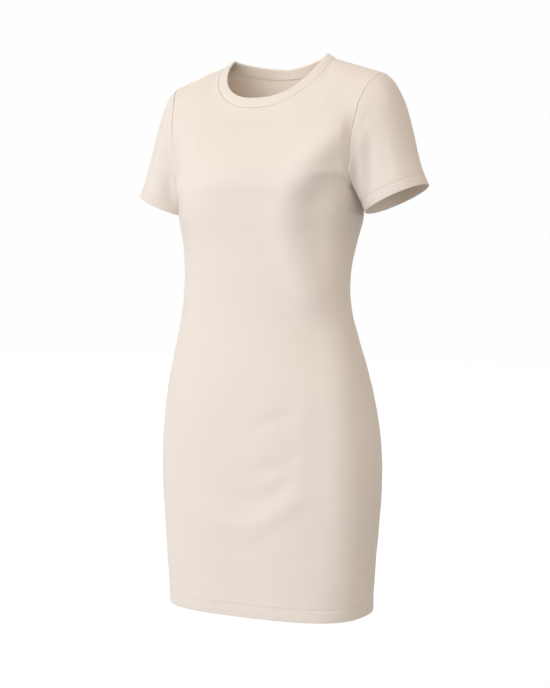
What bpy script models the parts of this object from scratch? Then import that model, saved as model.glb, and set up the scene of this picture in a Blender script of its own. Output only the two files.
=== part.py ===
"""Short-sleeved sheath dress in a smooth double knit, filled out with no wearer.

Metres, +Z up. The origin lies midway between the two neck points, at the top of the neckband.
X runs to the wearer's left, Y to the back. Cloth pieces: front, back, two sleeves and a neckband,
each a wall of cloth worked out from the sizes below, with a small gap at every seam.
"""

from collections import namedtuple

import bmesh
import bpy
import numpy as np

# Cloth and sewing
WALL = 0.0016
SEAM_GAP = 0.0003
HEM_DEPTH = 0.0215
HEM_EXTRA = 0.0011
CUFF_HEM_DEPTH = 0.0180
TURN_STEP = 0.0030

# Body of the dress, one row a level: side seam place and the depth of front and back from it
BodyRow = namedtuple("BodyRow", "level half_width side_y front back front_power back_power")
BODY_ROWS = (
    BodyRow(-0.8950, 0.1706, -0.0390, 0.0997, 0.1026, 2.78, 2.52),
    BodyRow(-0.8200, 0.1749, -0.0376, 0.1070, 0.1080, 2.69, 2.48),
    BodyRow(-0.7600, 0.1792, -0.0360, 0.1126, 0.1120, 2.62, 2.48),
    BodyRow(-0.7000, 0.1834, -0.0344, 0.1172, 0.1156, 2.56, 2.41),
    BodyRow(-0.6400, 0.1837, -0.0343, 0.1196, 0.1174, 2.53, 2.34),
    BodyRow(-0.5800, 0.1786, -0.0372, 0.1179, 0.1158, 2.46, 2.26),
    BodyRow(-0.5200, 0.1683, -0.0419, 0.1124, 0.1105, 2.40, 2.18),
    BodyRow(-0.4700, 0.1557, -0.0471, 0.1048, 0.1040, 2.35, 2.14),
    BodyRow(-0.4200, 0.1436, -0.0527, 0.0974, 0.0987, 2.30, 2.14),
    BodyRow(-0.3750, 0.1399, -0.0559, 0.0941, 0.0979, 2.31, 2.23),
    BodyRow(-0.3400, 0.1401, -0.0542, 0.0964, 0.1013, 2.31, 2.39),
    BodyRow(-0.3000, 0.1431, -0.0456, 0.1063, 0.1083, 2.35, 2.53),
    BodyRow(-0.2600, 0.1502, -0.0396, 0.1155, 0.1165, 2.42, 2.64),
    BodyRow(-0.2220, 0.1519, -0.0393, 0.1191, 0.1215, 2.47, 2.71),
)
HEM_LEVEL = BODY_ROWS[0].level
UNDERARM_LEVEL = BODY_ROWS[-1].level

# Armhole seam of one side, from the underarm up to the shoulder tip
ArmholeRow = namedtuple("ArmholeRow", "level x front_y back_y")
ARMHOLE_ROWS = (
    ArmholeRow(-0.2220, 0.1519, -0.0393, -0.0393),
    ArmholeRow(-0.2165, 0.1567, -0.0590, -0.0110),
    ArmholeRow(-0.2000, 0.1544, -0.0786, 0.0110),
    ArmholeRow(-0.1750, 0.1576, -0.0801, 0.0290),
    ArmholeRow(-0.1450, 0.1594, -0.0811, 0.0400),
    ArmholeRow(-0.1150, 0.1636, -0.0753, 0.0445),
    ArmholeRow(-0.0900, 0.1670, -0.0674, 0.0430),
    ArmholeRow(-0.0650, 0.1734, -0.0520, 0.0340),
    ArmholeRow(-0.0480, 0.1799, -0.0341, 0.0190),
    ArmholeRow(-0.0383, 0.1824, -0.0050, -0.0050),
)
SHOULDER_TIP = np.array((0.1824, -0.0050, -0.0383))

# Neckline: half-ovals for front and back, of the seam and of the band's top edge
NeckOval = namedtuple("NeckOval", "half_width side_y depth side_level drop power drop_power")
SEAM_FRONT = NeckOval(0.1004, -0.0051, 0.0862, -0.0105, 0.0816, 2.33, 1.23)
SEAM_BACK = NeckOval(0.1004, -0.0051, 0.0400, -0.0105, 0.0190, 2.00, 1.80)
EDGE_FRONT = NeckOval(0.0841, -0.0017, 0.0815, 0.0000, 0.0750, 2.50, 1.06)
EDGE_BACK = NeckOval(0.0841, -0.0017, 0.0290, 0.0000, 0.0160, 1.33, 1.40)
BAND_THICKNESS = 0.0026
BAND_SEAM_STAND = 0.0002
BAND_MIDDLE_STAND = 0.0005
BAND_EDGE_STAND = 0.0001

# Sleeve: the cuff's ring and the directions in which the cloth leaves the armhole
CUFF_CENTRE = np.array((0.2075, -0.0079, -0.2378))
CUFF_HALF_ACROSS = 0.0535
CUFF_HALF_DEEP = 0.0577
CUFF_TILT = 0.421
CUFF_LEAN = -0.051
SleeveLeave = namedtuple("SleeveLeave", "turn out across down pull cuff_pull")
SLEEVE_LEAVES = (
    SleeveLeave(0.00, 0.84, 0.18, -0.49, 0.128, 0.313),
    SleeveLeave(0.20, 0.85, 0.12, -0.46, 0.100, 0.300),
    SleeveLeave(0.30, 0.60, 0.15, -0.75, 0.080, 0.220),
    SleeveLeave(0.40, 0.25, 0.08, -0.96, 0.045, 0.070),
    SleeveLeave(0.50, 0.60, 0.00, -0.80, 0.025, 0.040),
    SleeveLeave(0.75, 0.83, 0.48, -0.41, 0.177, 0.057),
    SleeveLeave(1.00, 0.84, 0.18, -0.49, 0.128, 0.313),
)

# Folds and swells: a line through three places, girth to the wearer's left of the centre line and
# level, with how far the cloth stands out there and how wide the ridge or trough is
Fold = namedtuple("Fold", "out half_width girth_1 level_1 girth_2 level_2 girth_3 level_3")
FRONT_FOLDS = (
    Fold(0.0100, 0.028, 0.168, -0.133, 0.122, -0.179, 0.077, -0.254),
    Fold(0.0055, 0.050, -0.060, -0.225, -0.082, -0.238, -0.100, -0.225),
    Fold(-0.0034, 0.027, 0.152, -0.228, 0.126, -0.270, 0.136, -0.345),
    Fold(-0.0030, 0.022, -0.180, -0.145, -0.160, -0.178, -0.135, -0.200),
    Fold(0.0026, 0.009, 0.190, -0.203, 0.147, -0.200, 0.110, -0.208),
    Fold(0.0016, 0.009, -0.190, -0.213, -0.155, -0.210, -0.125, -0.216),
    Fold(-0.0022, 0.017, -0.190, -0.238, -0.150, -0.242, -0.115, -0.254),
    Fold(0.0062, 0.026, 0.070, -0.262, 0.089, -0.330, 0.124, -0.420),
    Fold(-0.0026, 0.026, -0.125, -0.290, -0.146, -0.345, -0.162, -0.400),
    Fold(0.0008, 0.016, 0.106, -0.480, 0.108, -0.610, 0.094, -0.750),
    Fold(0.0054, 0.035, 0.156, -0.440, 0.168, -0.630, 0.158, -0.870),
    Fold(0.0014, 0.026, -0.162, -0.450, -0.176, -0.640, -0.166, -0.860),
    Fold(0.0021, 0.015, -0.068, -0.722, 0.028, -0.744, 0.112, -0.680),
    Fold(-0.0008, 0.014, -0.034, -0.776, 0.041, -0.774, 0.108, -0.714),
    Fold(-0.0015, 0.012, 0.000, -0.706, 0.056, -0.696, 0.094, -0.662),
    Fold(-0.0014, 0.012, 0.026, -0.658, 0.073, -0.648, 0.106, -0.626),
    Fold(-0.0013, 0.012, 0.030, -0.592, 0.065, -0.581, 0.092, -0.564),
)
BACK_FOLDS = (
    Fold(0.0035, 0.050, 0.060, -0.130, 0.085, -0.150, 0.095, -0.185),
    Fold(0.0035, 0.050, -0.060, -0.130, -0.085, -0.150, -0.095, -0.185),
    Fold(-0.0035, 0.020, 0.190, -0.150, 0.165, -0.185, 0.140, -0.212),
    Fold(-0.0030, 0.020, -0.190, -0.158, -0.165, -0.190, -0.142, -0.215),
    Fold(-0.0026, 0.013, 0.190, -0.235, 0.140, -0.262, 0.092, -0.292),
    Fold(-0.0022, 0.013, -0.190, -0.240, -0.145, -0.270, -0.100, -0.304),
    Fold(-0.0026, 0.012, -0.080, -0.362, -0.012, -0.376, 0.060, -0.364),
    Fold(-0.0032, 0.013, -0.070, -0.408, 0.005, -0.424, 0.085, -0.405),
    Fold(-0.0018, 0.011, 0.020, -0.452, 0.072, -0.458, 0.118, -0.444),
    Fold(0.0030, 0.014, -0.105, -0.672, -0.020, -0.716, 0.082, -0.690),
    Fold(-0.0026, 0.012, -0.060, -0.752, 0.015, -0.758, 0.090, -0.735),
    Fold(-0.0018, 0.011, -0.092, -0.640, -0.048, -0.662, 0.010, -0.664),
)

# Folds of a sleeve: turns from the outermost line towards the front, and parts of the way down
SleeveFold = namedtuple("SleeveFold", "out half_width turn_1 down_1 turn_2 down_2 turn_3 down_3")
LEFT_SLEEVE_FOLDS = (
    SleeveFold(0.0022, 0.014, 0.272, 0.15, 0.303, 0.38, 0.345, 0.70),
    SleeveFold(-0.0022, 0.013, 0.215, 0.28, 0.250, 0.55, 0.290, 0.82),
    SleeveFold(0.0018, 0.017, 0.130, 0.34, 0.135, 0.65, 0.150, 0.92),
    SleeveFold(-0.0014, 0.011, 0.150, 0.20, 0.190, 0.15, 0.235, 0.12),
    SleeveFold(-0.0024, 0.014, 0.790, 0.20, 0.745, 0.50, 0.700, 0.82),
    SleeveFold(0.0018, 0.015, 0.870, 0.30, 0.855, 0.60, 0.845, 0.92),
)
RIGHT_SLEEVE_FOLDS = (
    SleeveFold(-0.0024, 0.013, 0.315, 0.15, 0.310, 0.55, 0.340, 0.86),
    SleeveFold(0.0018, 0.016, 0.195, 0.30, 0.213, 0.65, 0.230, 0.92),
    SleeveFold(-0.0020, 0.014, 0.775, 0.26, 0.735, 0.55, 0.692, 0.86),
    SleeveFold(0.0016, 0.015, 0.880, 0.34, 0.862, 0.65, 0.850, 0.90),
)
SLEEVE_GIRTH = 0.40
SLEEVE_LENGTH = 0.15
FOLD_STEPS = 24
FOLD_FADE = 0.020

# Mesh density
SHOULDER_COLUMNS = 5
NECK_COLUMNS = 10
SkirtBand = namedtuple("SkirtBand", "top_level rows")
SKIRT_BANDS = (
    SkirtBand(-0.7900, 4),
    SkirtBand(-0.6000, 15),
    SkirtBand(-0.4400, 7),
    SkirtBand(UNDERARM_LEVEL, 12),
)
CHEST_ROWS = 14
CORNER_ROWS = 3
CORNER_HOLD = 2.0
CORNER_STEP = 0.015
CORNER_SAMPLES = 60
CORNER_AHEAD = 3
SLEEVE_RINGS = 8
CURVE_STEPS = 240
RIM_ANGLE = np.radians(50.0)

CLOTH_COLOUR = (0.78, 0.70, 0.61, 1.0)
CLOTH_ROUGHNESS = 0.9


def unit(vectors):
    """Vectors scaled to length one along the last axis."""
    return vectors / np.maximum(np.linalg.norm(vectors, axis=-1, keepdims=True), 1e-12)


def smooth_table(levels, values, where):
    """Cubic through a table's rows, with slopes from neighbouring rows."""
    levels = np.asarray(levels, float)
    values = np.asarray(values, float)
    slopes = np.gradient(values, levels, axis=0)
    index = np.clip(np.searchsorted(levels, where) - 1, 0, len(levels) - 2)
    span = (levels[index + 1] - levels[index])[..., None]
    t = ((where - levels[index])[..., None]) / span
    start, end = values[index], values[index + 1]
    rise = (2 * t**3 - 3 * t**2 + 1) * start + (3 * t**2 - 2 * t**3) * end
    bend = (t**3 - 2 * t**2 + t) * slopes[index] + (t**3 - t**2) * slopes[index + 1]
    return rise + bend * span


def along(points, fractions):
    """Points at fractions of the length of a polyline."""
    steps = np.linalg.norm(np.diff(points, axis=0), axis=1)
    length = np.concatenate(([0.0], np.cumsum(steps)))
    where = np.asarray(fractions) * length[-1]
    return np.stack([np.interp(where, length, values) for values in points.T], axis=-1)


def body_arc(level, is_front, fractions):
    """One level of front or back, from the side seam (0) to the centre line (1)."""
    levels = [row.level for row in BODY_ROWS]
    row = BodyRow(*smooth_table(levels, BODY_ROWS, np.array([level]))[0])
    depth = -row.front if is_front else row.back
    power = row.front_power if is_front else row.back_power
    angle = np.linspace(0.0, np.pi / 2, CURVE_STEPS)
    x = row.half_width * np.cos(angle) ** (2 / power)
    y = row.side_y + depth * np.sin(angle) ** (2 / power)
    return along(np.stack([x, y, np.full_like(x, level)], axis=-1), fractions)


def armhole_half(is_front, fractions):
    """The armhole seam of one half panel, from the underarm (0) to the shoulder tip (1)."""
    front = [(row.x, row.front_y, row.level) for row in ARMHOLE_ROWS]
    back = [(row.x, row.back_y, row.level) for row in ARMHOLE_ROWS]
    loop = front + back[-2:0:-1]
    if not is_front:
        loop = back + front[-2:0:-1]
    turns = np.array(loop[-3:] + loop + loop[:4])
    knots = np.arange(len(turns)) - 3.0
    last = len(ARMHOLE_ROWS) - 1.0
    dense = smooth_table(knots, turns, np.linspace(0.0, last, CURVE_STEPS))
    return along(dense, fractions)


def neck_half(oval, is_front, fractions):
    """A neckline half-oval of one side, from the neck point (0) to the centre line (1)."""
    angle = np.linspace(0.0, np.pi / 2, CURVE_STEPS)
    forward = -1.0 if is_front else 1.0
    x = oval.half_width * np.cos(angle) ** (2 / oval.power)
    y = oval.side_y + forward * oval.depth * np.sin(angle) ** (2 / oval.power)
    z = oval.side_level - oval.drop * np.sin(angle) ** oval.drop_power
    return along(np.stack([x, y, z], axis=-1), fractions)


def neck_fractions():
    """Where the neckline's columns stand along each half-oval."""
    return np.linspace(0.0, 1.0, NECK_COLUMNS + 1)


def neck_seam(is_front):
    """The seam between a panel and the neckband, at the neckline's columns."""
    return neck_half(SEAM_FRONT if is_front else SEAM_BACK, is_front, neck_fractions())


def neck_edge(is_front):
    """The neckband's top edge, at the neckline's columns."""
    return neck_half(EDGE_FRONT if is_front else EDGE_BACK, is_front, neck_fractions())


def top_edge(is_front):
    """Shoulder seam and neckline seam of a half panel, from the shoulder tip to the centre."""
    seam = neck_seam(is_front)
    t = np.linspace(0.0, 1.0, SHOULDER_COLUMNS + 1)[:-1, None]
    shoulder = SHOULDER_TIP + (seam[0] - SHOULDER_TIP) * t
    return np.concatenate([shoulder, seam])


def skirt_levels():
    """Levels from the hem to the underarm, with the hem's turned-up edge."""
    levels = [HEM_LEVEL, HEM_LEVEL + HEM_DEPTH, HEM_LEVEL + HEM_DEPTH + TURN_STEP]
    for band in SKIRT_BANDS:
        levels.extend(np.linspace(levels[-1], band.top_level, band.rows + 1)[1:])
    return np.array(levels)


def half_panel(is_front):
    """Outer points of the wearer's left half: rows from the hem up, columns from side to centre.
    Above the underarm only the edges count, because the cloth between them is worked out later."""
    columns = SHOULDER_COLUMNS + NECK_COLUMNS
    across = np.linspace(0.0, 1.0, columns + 1)
    skirt = np.array([body_arc(level, is_front, across) for level in skirt_levels()])
    rows = np.linspace(0.0, 1.0, CHEST_ROWS + 1)
    chest = skirt[-1] + (top_edge(is_front) - skirt[-1]) * rows[:, None, None]
    chest[:, 0] = armhole_half(is_front, rows)
    return np.concatenate([skirt, chest[1:]])


def whole_panel(half):
    """Both halves of a panel, from the wearer's left side to the right."""
    mirrored = half[:, -2::-1] * np.array((-1.0, 1.0, 1.0))
    return np.concatenate([half, mirrored], axis=1)


def band_rise(is_front):
    """Directions in which the neckband leaves the neckline seam, across a whole panel."""
    half = unit(neck_edge(is_front) - neck_seam(is_front))
    return whole_panel(half[None])[0]


def corner_step(is_front, seam, to_side):
    """A level step of cloth from the armhole's lower corner towards the centre line."""
    arc = body_arc(seam[2], is_front, np.linspace(0.0, 1.0, CORNER_SAMPLES))
    near = int(np.argmin(np.abs(arc[:, 1] - seam[1])))
    ahead = unit(arc[min(near + CORNER_AHEAD, CORNER_SAMPLES - 1)] - arc[near])
    return ahead * CORNER_STEP * np.array((to_side, 1.0, 1.0))


def relax_chest(front, back):
    """Moves both panels' chest points to the smoothest cloth that keeps the panels' edges.
    It is the least sum of squared bends along rows, along columns and across the two, flush with
    the cloth below the underarm, with the neckband and, over the shoulder seams, with each other,
    and level beside the armholes' lower corners."""
    columns = front.shape[1]
    rows = CHEST_ROWS + 1
    panels = (front, back)
    points = np.concatenate([panel[-rows:].reshape(-1, 3) for panel in panels])
    number = np.arange(len(points)).reshape(2, rows, columns)
    free = np.zeros(number.shape, bool)
    free[:, 1:-1, 1:-1] = True
    spots = []
    weights = []
    rests = []

    def bend(numbers, factors, rest=(0.0, 0.0, 0.0)):
        """Notes one bend: the points it takes in, their factors and what it is measured from."""
        spots.append(numbers)
        weights.append(factors)
        rests.append(rest)

    for side, panel in enumerate(panels):
        own = number[side]
        for row in range(1, rows - 1):
            for column in range(1, columns - 1):
                bend((own[row - 1, column], own[row, column], own[row + 1, column]), (1, -2, 1))
                bend((own[row, column - 1], own[row, column], own[row, column + 1]), (1, -2, 1))
        for row in range(rows - 1):
            for column in range(columns - 1):
                corners = own[row : row + 2, column : column + 2].reshape(-1)
                bend(corners, (1, -1, -1, 1))
        lower = panel[-rows]
        upward = unit(lower - panel[-rows - 1])
        step = np.linalg.norm(panel[-1] - lower, axis=1)[:, None] / CHEST_ROWS
        rise = band_rise(side == 0)
        for column in range(1, columns - 1):
            start = lower[column] - upward[column] * step[column]
            bend((own[0, column], own[1, column]), (-2, 1), -start)
            neck = column - SHOULDER_COLUMNS
            if 0 < neck < columns - 1 - 2 * SHOULDER_COLUMNS:
                end = panel[-1, column] + rise[neck] * step[column]
                bend((own[-1, column], own[-2, column]), (-2, 1), -end)
        for row in range(1, CORNER_ROWS + 1):
            for seam, inner, to_side in ((0, 1, 1.0), (columns - 1, columns - 2, -1.0)):
                ahead = CORNER_HOLD * corner_step(side == 0, panel[row - rows, seam], to_side)
                bend((own[row, seam], own[row, inner]), (-CORNER_HOLD, CORNER_HOLD), ahead)
    for column in range(1, columns - 1):
        if not SHOULDER_COLUMNS < column < columns - 1 - SHOULDER_COLUMNS:
            seam = (number[0, -2, column], number[0, -1, column], number[1, -2, column])
            bend(seam, (1, -2, 1))

    matrix = np.zeros((len(spots), len(points)))
    for line, (numbers, factors) in enumerate(zip(spots, weights)):
        matrix[line, list(numbers)] = factors
    free = free.reshape(-1)
    known = np.array(rests, float) - matrix[:, ~free] @ points[~free]
    moving = matrix[:, free]
    points[free] = np.linalg.solve(moving.T @ moving, moving.T @ known)
    chests = points.reshape(2, rows, columns, 3)
    return [np.concatenate([panel[:-rows], chest]) for panel, chest in zip(panels, chests)]


def fold_height(places, folds, scale=(1.0, 1.0)):
    """How far the cloth stands out at each place, from its ridges and troughs."""
    height = np.zeros(places.shape[:-1])
    t = np.linspace(0.0, 1.0, FOLD_STEPS)[:, None]
    for fold in folds:
        start, middle, end = (np.array(fold[i : i + 2]) * scale for i in (2, 4, 6))
        line = 2 * (t - 0.5) * (t - 1) * start + 4 * t * (1 - t) * middle + 2 * t * (t - 0.5) * end
        away = np.linalg.norm(places[..., None, :] - line, axis=-1)
        taper = 1 - (2 * t[:, 0] - 1) ** 4
        height += fold.out * (np.exp(-((away / fold.half_width) ** 2)) * taper).max(axis=-1)
    return height


def fold_panel(panel, normals, folds):
    """The panel with its folds, which fade out towards the side seams and armholes."""
    steps = np.linalg.norm(np.diff(panel, axis=1), axis=2)
    reach = np.concatenate([np.zeros((len(panel), 1)), np.cumsum(steps, axis=1)], axis=1)
    girth = reach[:, -1:] / 2 - reach
    places = np.stack([girth, panel[..., 2]], axis=-1)
    from_edge = np.clip(np.minimum(reach, reach[:, -1:] - reach) / FOLD_FADE, 0.0, 1.0)
    fade = from_edge**2 * (3 - 2 * from_edge)
    return panel + normals * (fold_height(places, folds) * fade)[..., None]


def panel_normals(panel, other, is_front):
    """Outward directions, worked out across the side and shoulder seams, so that both pieces agree."""
    rows, columns = panel.shape[:2]
    underarm = rows - 1 - CHEST_ROWS
    wide = np.empty((rows + 2, columns + 2, 3))
    wide[1:-1, 1:-1] = panel
    wide[1:-1, 0] = 2 * panel[:, 0] - panel[:, 1]
    wide[1:-1, -1] = 2 * panel[:, -1] - panel[:, -2]
    wide[1 : underarm + 2, 0] = other[: underarm + 1, 1]
    wide[1 : underarm + 2, -1] = other[: underarm + 1, -2]
    wide[0] = 2 * wide[1] - wide[2]
    wide[-1] = 2 * wide[-2] - wide[-3]
    shoulder = np.r_[1 : SHOULDER_COLUMNS + 2, columns - SHOULDER_COLUMNS : columns + 1]
    wide[-1, shoulder] = other[-2, shoulder - 1]
    across = wide[1:-1, 2:] - wide[1:-1, :-2]
    up = wide[2:, 1:-1] - wide[:-2, 1:-1]
    turned = np.cross(up, across)
    return unit(turned if is_front else -turned)


def part_from_seams(grid):
    """The grid with its side and top edges drawn in by half the seam gap."""
    moved = grid.copy()
    half_gap = SEAM_GAP / 2
    moved[:, 0] += unit(grid[:, 1] - grid[:, 0]) * half_gap
    moved[:, -1] += unit(grid[:, -2] - grid[:, -1]) * half_gap
    moved[-1] += unit(grid[-2] - grid[-1]) * half_gap
    return moved


def panel_thickness(panel):
    """Wall thickness at each point: double at the turned-up hem."""
    at_hem = panel[..., 2] < HEM_LEVEL + HEM_DEPTH + TURN_STEP / 2
    return np.where(at_hem, WALL + HEM_EXTRA, WALL)[..., None]


def wall_mesh(name, outer, inner, is_ring):
    """One closed wall between two grids of points, joined round their edges."""
    shape = bmesh.new()
    skins = []
    for grid in (outer, inner):
        skins.append([[shape.verts.new(point) for point in row] for row in grid])
    rows, columns = outer.shape[:2]
    last = columns if is_ring else columns - 1

    def strip(low, low_next, high_next, high):
        """One face between two neighbours on one line and two on the next."""
        shape.faces.new([low, low_next, high_next, high])

    for row in range(rows - 1):
        for column in range(last):
            right = (column + 1) % columns
            for skin in skins:
                strip(skin[row][column], skin[row][right], skin[row + 1][right], skin[row + 1][column])
    outside, inside = skins
    for row in (0, rows - 1):
        for column in range(last):
            right = (column + 1) % columns
            strip(outside[row][column], outside[row][right], inside[row][right], inside[row][column])
    if not is_ring:
        for column in (0, columns - 1):
            for row in range(rows - 1):
                up = row + 1
                strip(outside[row][column], outside[up][column], inside[up][column], inside[row][column])
    bmesh.ops.recalc_face_normals(shape, faces=shape.faces)
    mesh = bpy.data.meshes.new(name)
    shape.to_mesh(mesh)
    shape.free()
    mesh.shade_smooth()
    mesh.set_sharp_from_angle(angle=RIM_ANGLE)
    return mesh


def cloth(name, collection, mesh):
    """An object of the dress, with its own material."""
    material = bpy.data.materials.new(name + "_knit")
    material.use_nodes = True
    shader = material.node_tree.nodes["Principled BSDF"]
    shader.inputs["Base Color"].default_value = CLOTH_COLOUR
    shader.inputs["Roughness"].default_value = CLOTH_ROUGHNESS
    shader.inputs["Metallic"].default_value = 0.0
    mesh.materials.append(material)
    piece = bpy.data.objects.new(name, mesh)
    collection.objects.link(piece)
    return piece


def armhole_ring(front, back, front_normals, back_normals):
    """The armhole's points from the shoulder tip down the front and up the back, with directions."""
    underarm = front.shape[0] - 1 - CHEST_ROWS
    down = slice(None, underarm - 1, -1)
    up = slice(underarm + 1, -1)
    points = np.concatenate([front[down, 0], back[up, 0]])
    normals = np.concatenate([front_normals[down, 0], back_normals[up, 0]])
    inner = np.concatenate([front[down, 1], back[up, 1]])
    tangent = unit(np.roll(points, -1, axis=0) - np.roll(points, 1, axis=0))
    into_panel = inner - points
    into_panel -= (into_panel * tangent).sum(axis=1, keepdims=True) * tangent
    return points, normals, unit(into_panel)


def cuff_ring(turns):
    """The cuff's edge at fractions of a turn: 0 is outermost, a quarter is the front."""
    out, down = np.sin(CUFF_TILT), np.cos(CUFF_TILT)
    lean = np.cos(CUFF_LEAN)
    sleeve_axis = np.array((out * lean, -np.sin(CUFF_LEAN), -down * lean))
    across = np.array((down, 0.0, out))
    deep = np.cross(sleeve_axis, across)
    deep *= -np.sign(deep[1])
    angle = 2 * np.pi * turns[:, None]
    ring = CUFF_CENTRE + CUFF_HALF_ACROSS * np.cos(angle) * across + CUFF_HALF_DEEP * np.sin(angle) * deep
    return ring, sleeve_axis


def sleeve_grid(points, normals, into_panel):
    """Outer points of the wearer's left sleeve: rings from the armhole to the cuff."""
    count = len(points)
    turns = np.arange(count) / count
    start = points - into_panel * SEAM_GAP + normals * SEAM_GAP / 2
    end, sleeve_axis = cuff_ring(turns)
    leave = smooth_table([row.turn for row in SLEEVE_LEAVES], SLEEVE_LEAVES, turns)
    direction = unit(leave[:, 1:4])
    t = np.linspace(0.0, 1.0, CURVE_STEPS)[:, None, None]
    lines = (
        (2 * t**3 - 3 * t**2 + 1) * start
        + (t**3 - 2 * t**2 + t) * direction * leave[:, 4:5]
        + (3 * t**2 - 2 * t**3) * end
        + (t**3 - t**2) * sleeve_axis * leave[:, 5:6]
    )
    rings = []
    for column in range(count):
        line = lines[:, column]
        length = np.linalg.norm(np.diff(line, axis=0), axis=1).sum()
        hem = 1 - CUFF_HEM_DEPTH / length
        step = hem - TURN_STEP / length
        fractions = np.concatenate([np.linspace(0.0, step, SLEEVE_RINGS + 1), [hem, 1.0]])
        rings.append(along(line, fractions))
    return np.stack(rings, axis=1)


def ring_normals(grid):
    """Outward directions on a grid of closed rings."""
    around = np.roll(grid, -1, axis=1) - np.roll(grid, 1, axis=1)
    down = np.gradient(grid, axis=0)
    normals = unit(np.cross(around, down))
    from_middle = grid - grid.mean(axis=1, keepdims=True)
    return normals * np.sign((normals * from_middle).sum())


def fold_sleeve(grid, folds):
    """The sleeve's rings with its folds, which fade out towards the armhole."""
    steps = np.linalg.norm(np.diff(grid, axis=0), axis=2)
    reach = np.concatenate([np.zeros((1, grid.shape[1])), np.cumsum(steps, axis=0)])
    down = reach / reach[-1] * SLEEVE_LENGTH
    around = np.broadcast_to(np.linspace(0.0, SLEEVE_GIRTH, grid.shape[1], endpoint=False), down.shape)
    from_armhole = np.clip(reach / FOLD_FADE, 0.0, 1.0)
    fade = from_armhole**2 * (3 - 2 * from_armhole)
    height = fold_height(np.stack([around, down], axis=-1), folds, (SLEEVE_GIRTH, SLEEVE_LENGTH))
    return grid + ring_normals(grid) * (height * fade)[..., None]


def sleeve_walls(points, normals, into_panel, folds):
    """Outer and inner points of a sleeve on the wearer's left side."""
    outer = fold_sleeve(sleeve_grid(points, normals, into_panel), folds)
    inward = -ring_normals(outer)
    toward = np.maximum((inward[0] * into_panel).sum(axis=1), 0.0)[:, None]
    inward[0] = unit(inward[0] - toward * into_panel)
    thickness = np.full((outer.shape[0], 1, 1), WALL)
    thickness[-2:] += HEM_EXTRA
    return outer, outer + inward * thickness


def neckband_rings():
    """The neckband's section, carried round the neckline as a ring of closed outlines."""
    fractions = neck_fractions()
    loops = []
    for front_oval, back_oval in ((SEAM_FRONT, SEAM_BACK), (EDGE_FRONT, EDGE_BACK)):
        front = neck_half(front_oval, True, fractions)
        back = neck_half(back_oval, False, fractions)
        mirror = np.array((-1.0, 1.0, 1.0))
        loops.append(np.concatenate([front, front[-2::-1] * mirror, back[1:] * mirror, back[-2:0:-1]]))
    seam, edge = loops
    rise = edge - seam
    width = np.linalg.norm(rise, axis=1)[:, None]
    up = rise / width
    tangent = np.roll(seam + edge, -1, axis=0) - np.roll(seam + edge, 1, axis=0)
    out = unit(np.cross(tangent, up))
    out *= np.sign((out * (seam - seam.mean(axis=0))).sum())
    crown = BAND_THICKNESS / 2
    section = (
        (np.full_like(width, SEAM_GAP), BAND_SEAM_STAND),
        (width / 2, BAND_MIDDLE_STAND),
        (width - crown, BAND_EDGE_STAND),
        (width, -crown),
        (width - crown, -BAND_THICKNESS),
        (width / 2, -BAND_THICKNESS),
        (np.full_like(width, SEAM_GAP), -BAND_THICKNESS),
    )
    return np.stack([seam + up * high + out * off for high, off in section])


def tube_mesh(name, rings):
    """A closed tube of outlines: its first and last strings are neighbours."""
    shape = bmesh.new()
    strings = [[shape.verts.new(point) for point in string] for string in rings]
    count = rings.shape[1]
    for index, string in enumerate(strings):
        following = strings[(index + 1) % len(strings)]
        for column in range(count):
            right = (column + 1) % count
            shape.faces.new([string[column], string[right], following[right], following[column]])
    bmesh.ops.recalc_face_normals(shape, faces=shape.faces)
    mesh = bpy.data.meshes.new(name)
    shape.to_mesh(mesh)
    shape.free()
    mesh.shade_smooth()
    mesh.set_sharp_from_angle(angle=RIM_ANGLE)
    return mesh


def clear_scene():
    """Removes what the scene holds at first."""
    for item in list(bpy.data.objects):
        bpy.data.objects.remove(item, do_unlink=True)


def main():
    """Builds the five cloth pieces in a collection of their own."""
    clear_scene()
    collection = bpy.data.collections.new("sheath_dress")
    bpy.context.scene.collection.children.link(collection)
    front, back = relax_chest(whole_panel(half_panel(True)), whole_panel(half_panel(False)))
    front_normals = panel_normals(front, back, True)
    back_normals = panel_normals(back, front, False)
    front = fold_panel(front, front_normals, FRONT_FOLDS)
    back = fold_panel(back, back_normals, BACK_FOLDS)
    front_normals = panel_normals(front, back, True)
    back_normals = panel_normals(back, front, False)
    for name, grid, normals in (("front_panel", front, front_normals), ("back_panel", back, back_normals)):
        outer = part_from_seams(grid)
        inner = outer - normals * panel_thickness(grid)
        cloth(name, collection, wall_mesh(name, outer, inner, False))
    ring = armhole_ring(front, back, front_normals, back_normals)
    sleeves = (("sleeve_left", 1.0, LEFT_SLEEVE_FOLDS), ("sleeve_right", -1.0, RIGHT_SLEEVE_FOLDS))
    for name, side, folds in sleeves:
        outer, inner = sleeve_walls(*ring, folds)
        flip = np.array((side, 1.0, 1.0))
        cloth(name, collection, wall_mesh(name, outer * flip, inner * flip, True))
    cloth("neckband", collection, tube_mesh("neckband", neckband_rings()))


if __name__ == "__main__":
    main()
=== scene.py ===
"""Looks of a short-sleeved sheath dress in a smooth double knit, filled out with no wearer.

Metres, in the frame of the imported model: the origin lies midway between the two neck points, X runs
to the wearer's left, Y to the back and Z up. Each cut piece is a thin shell of cloth on the form of
its solid, with its seam edges rolled in, its hem turned up, its folds and its rows of stitches.
"""

import logging
import math
from dataclasses import dataclass
from enum import Enum
from typing import NamedTuple, Sequence

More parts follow.
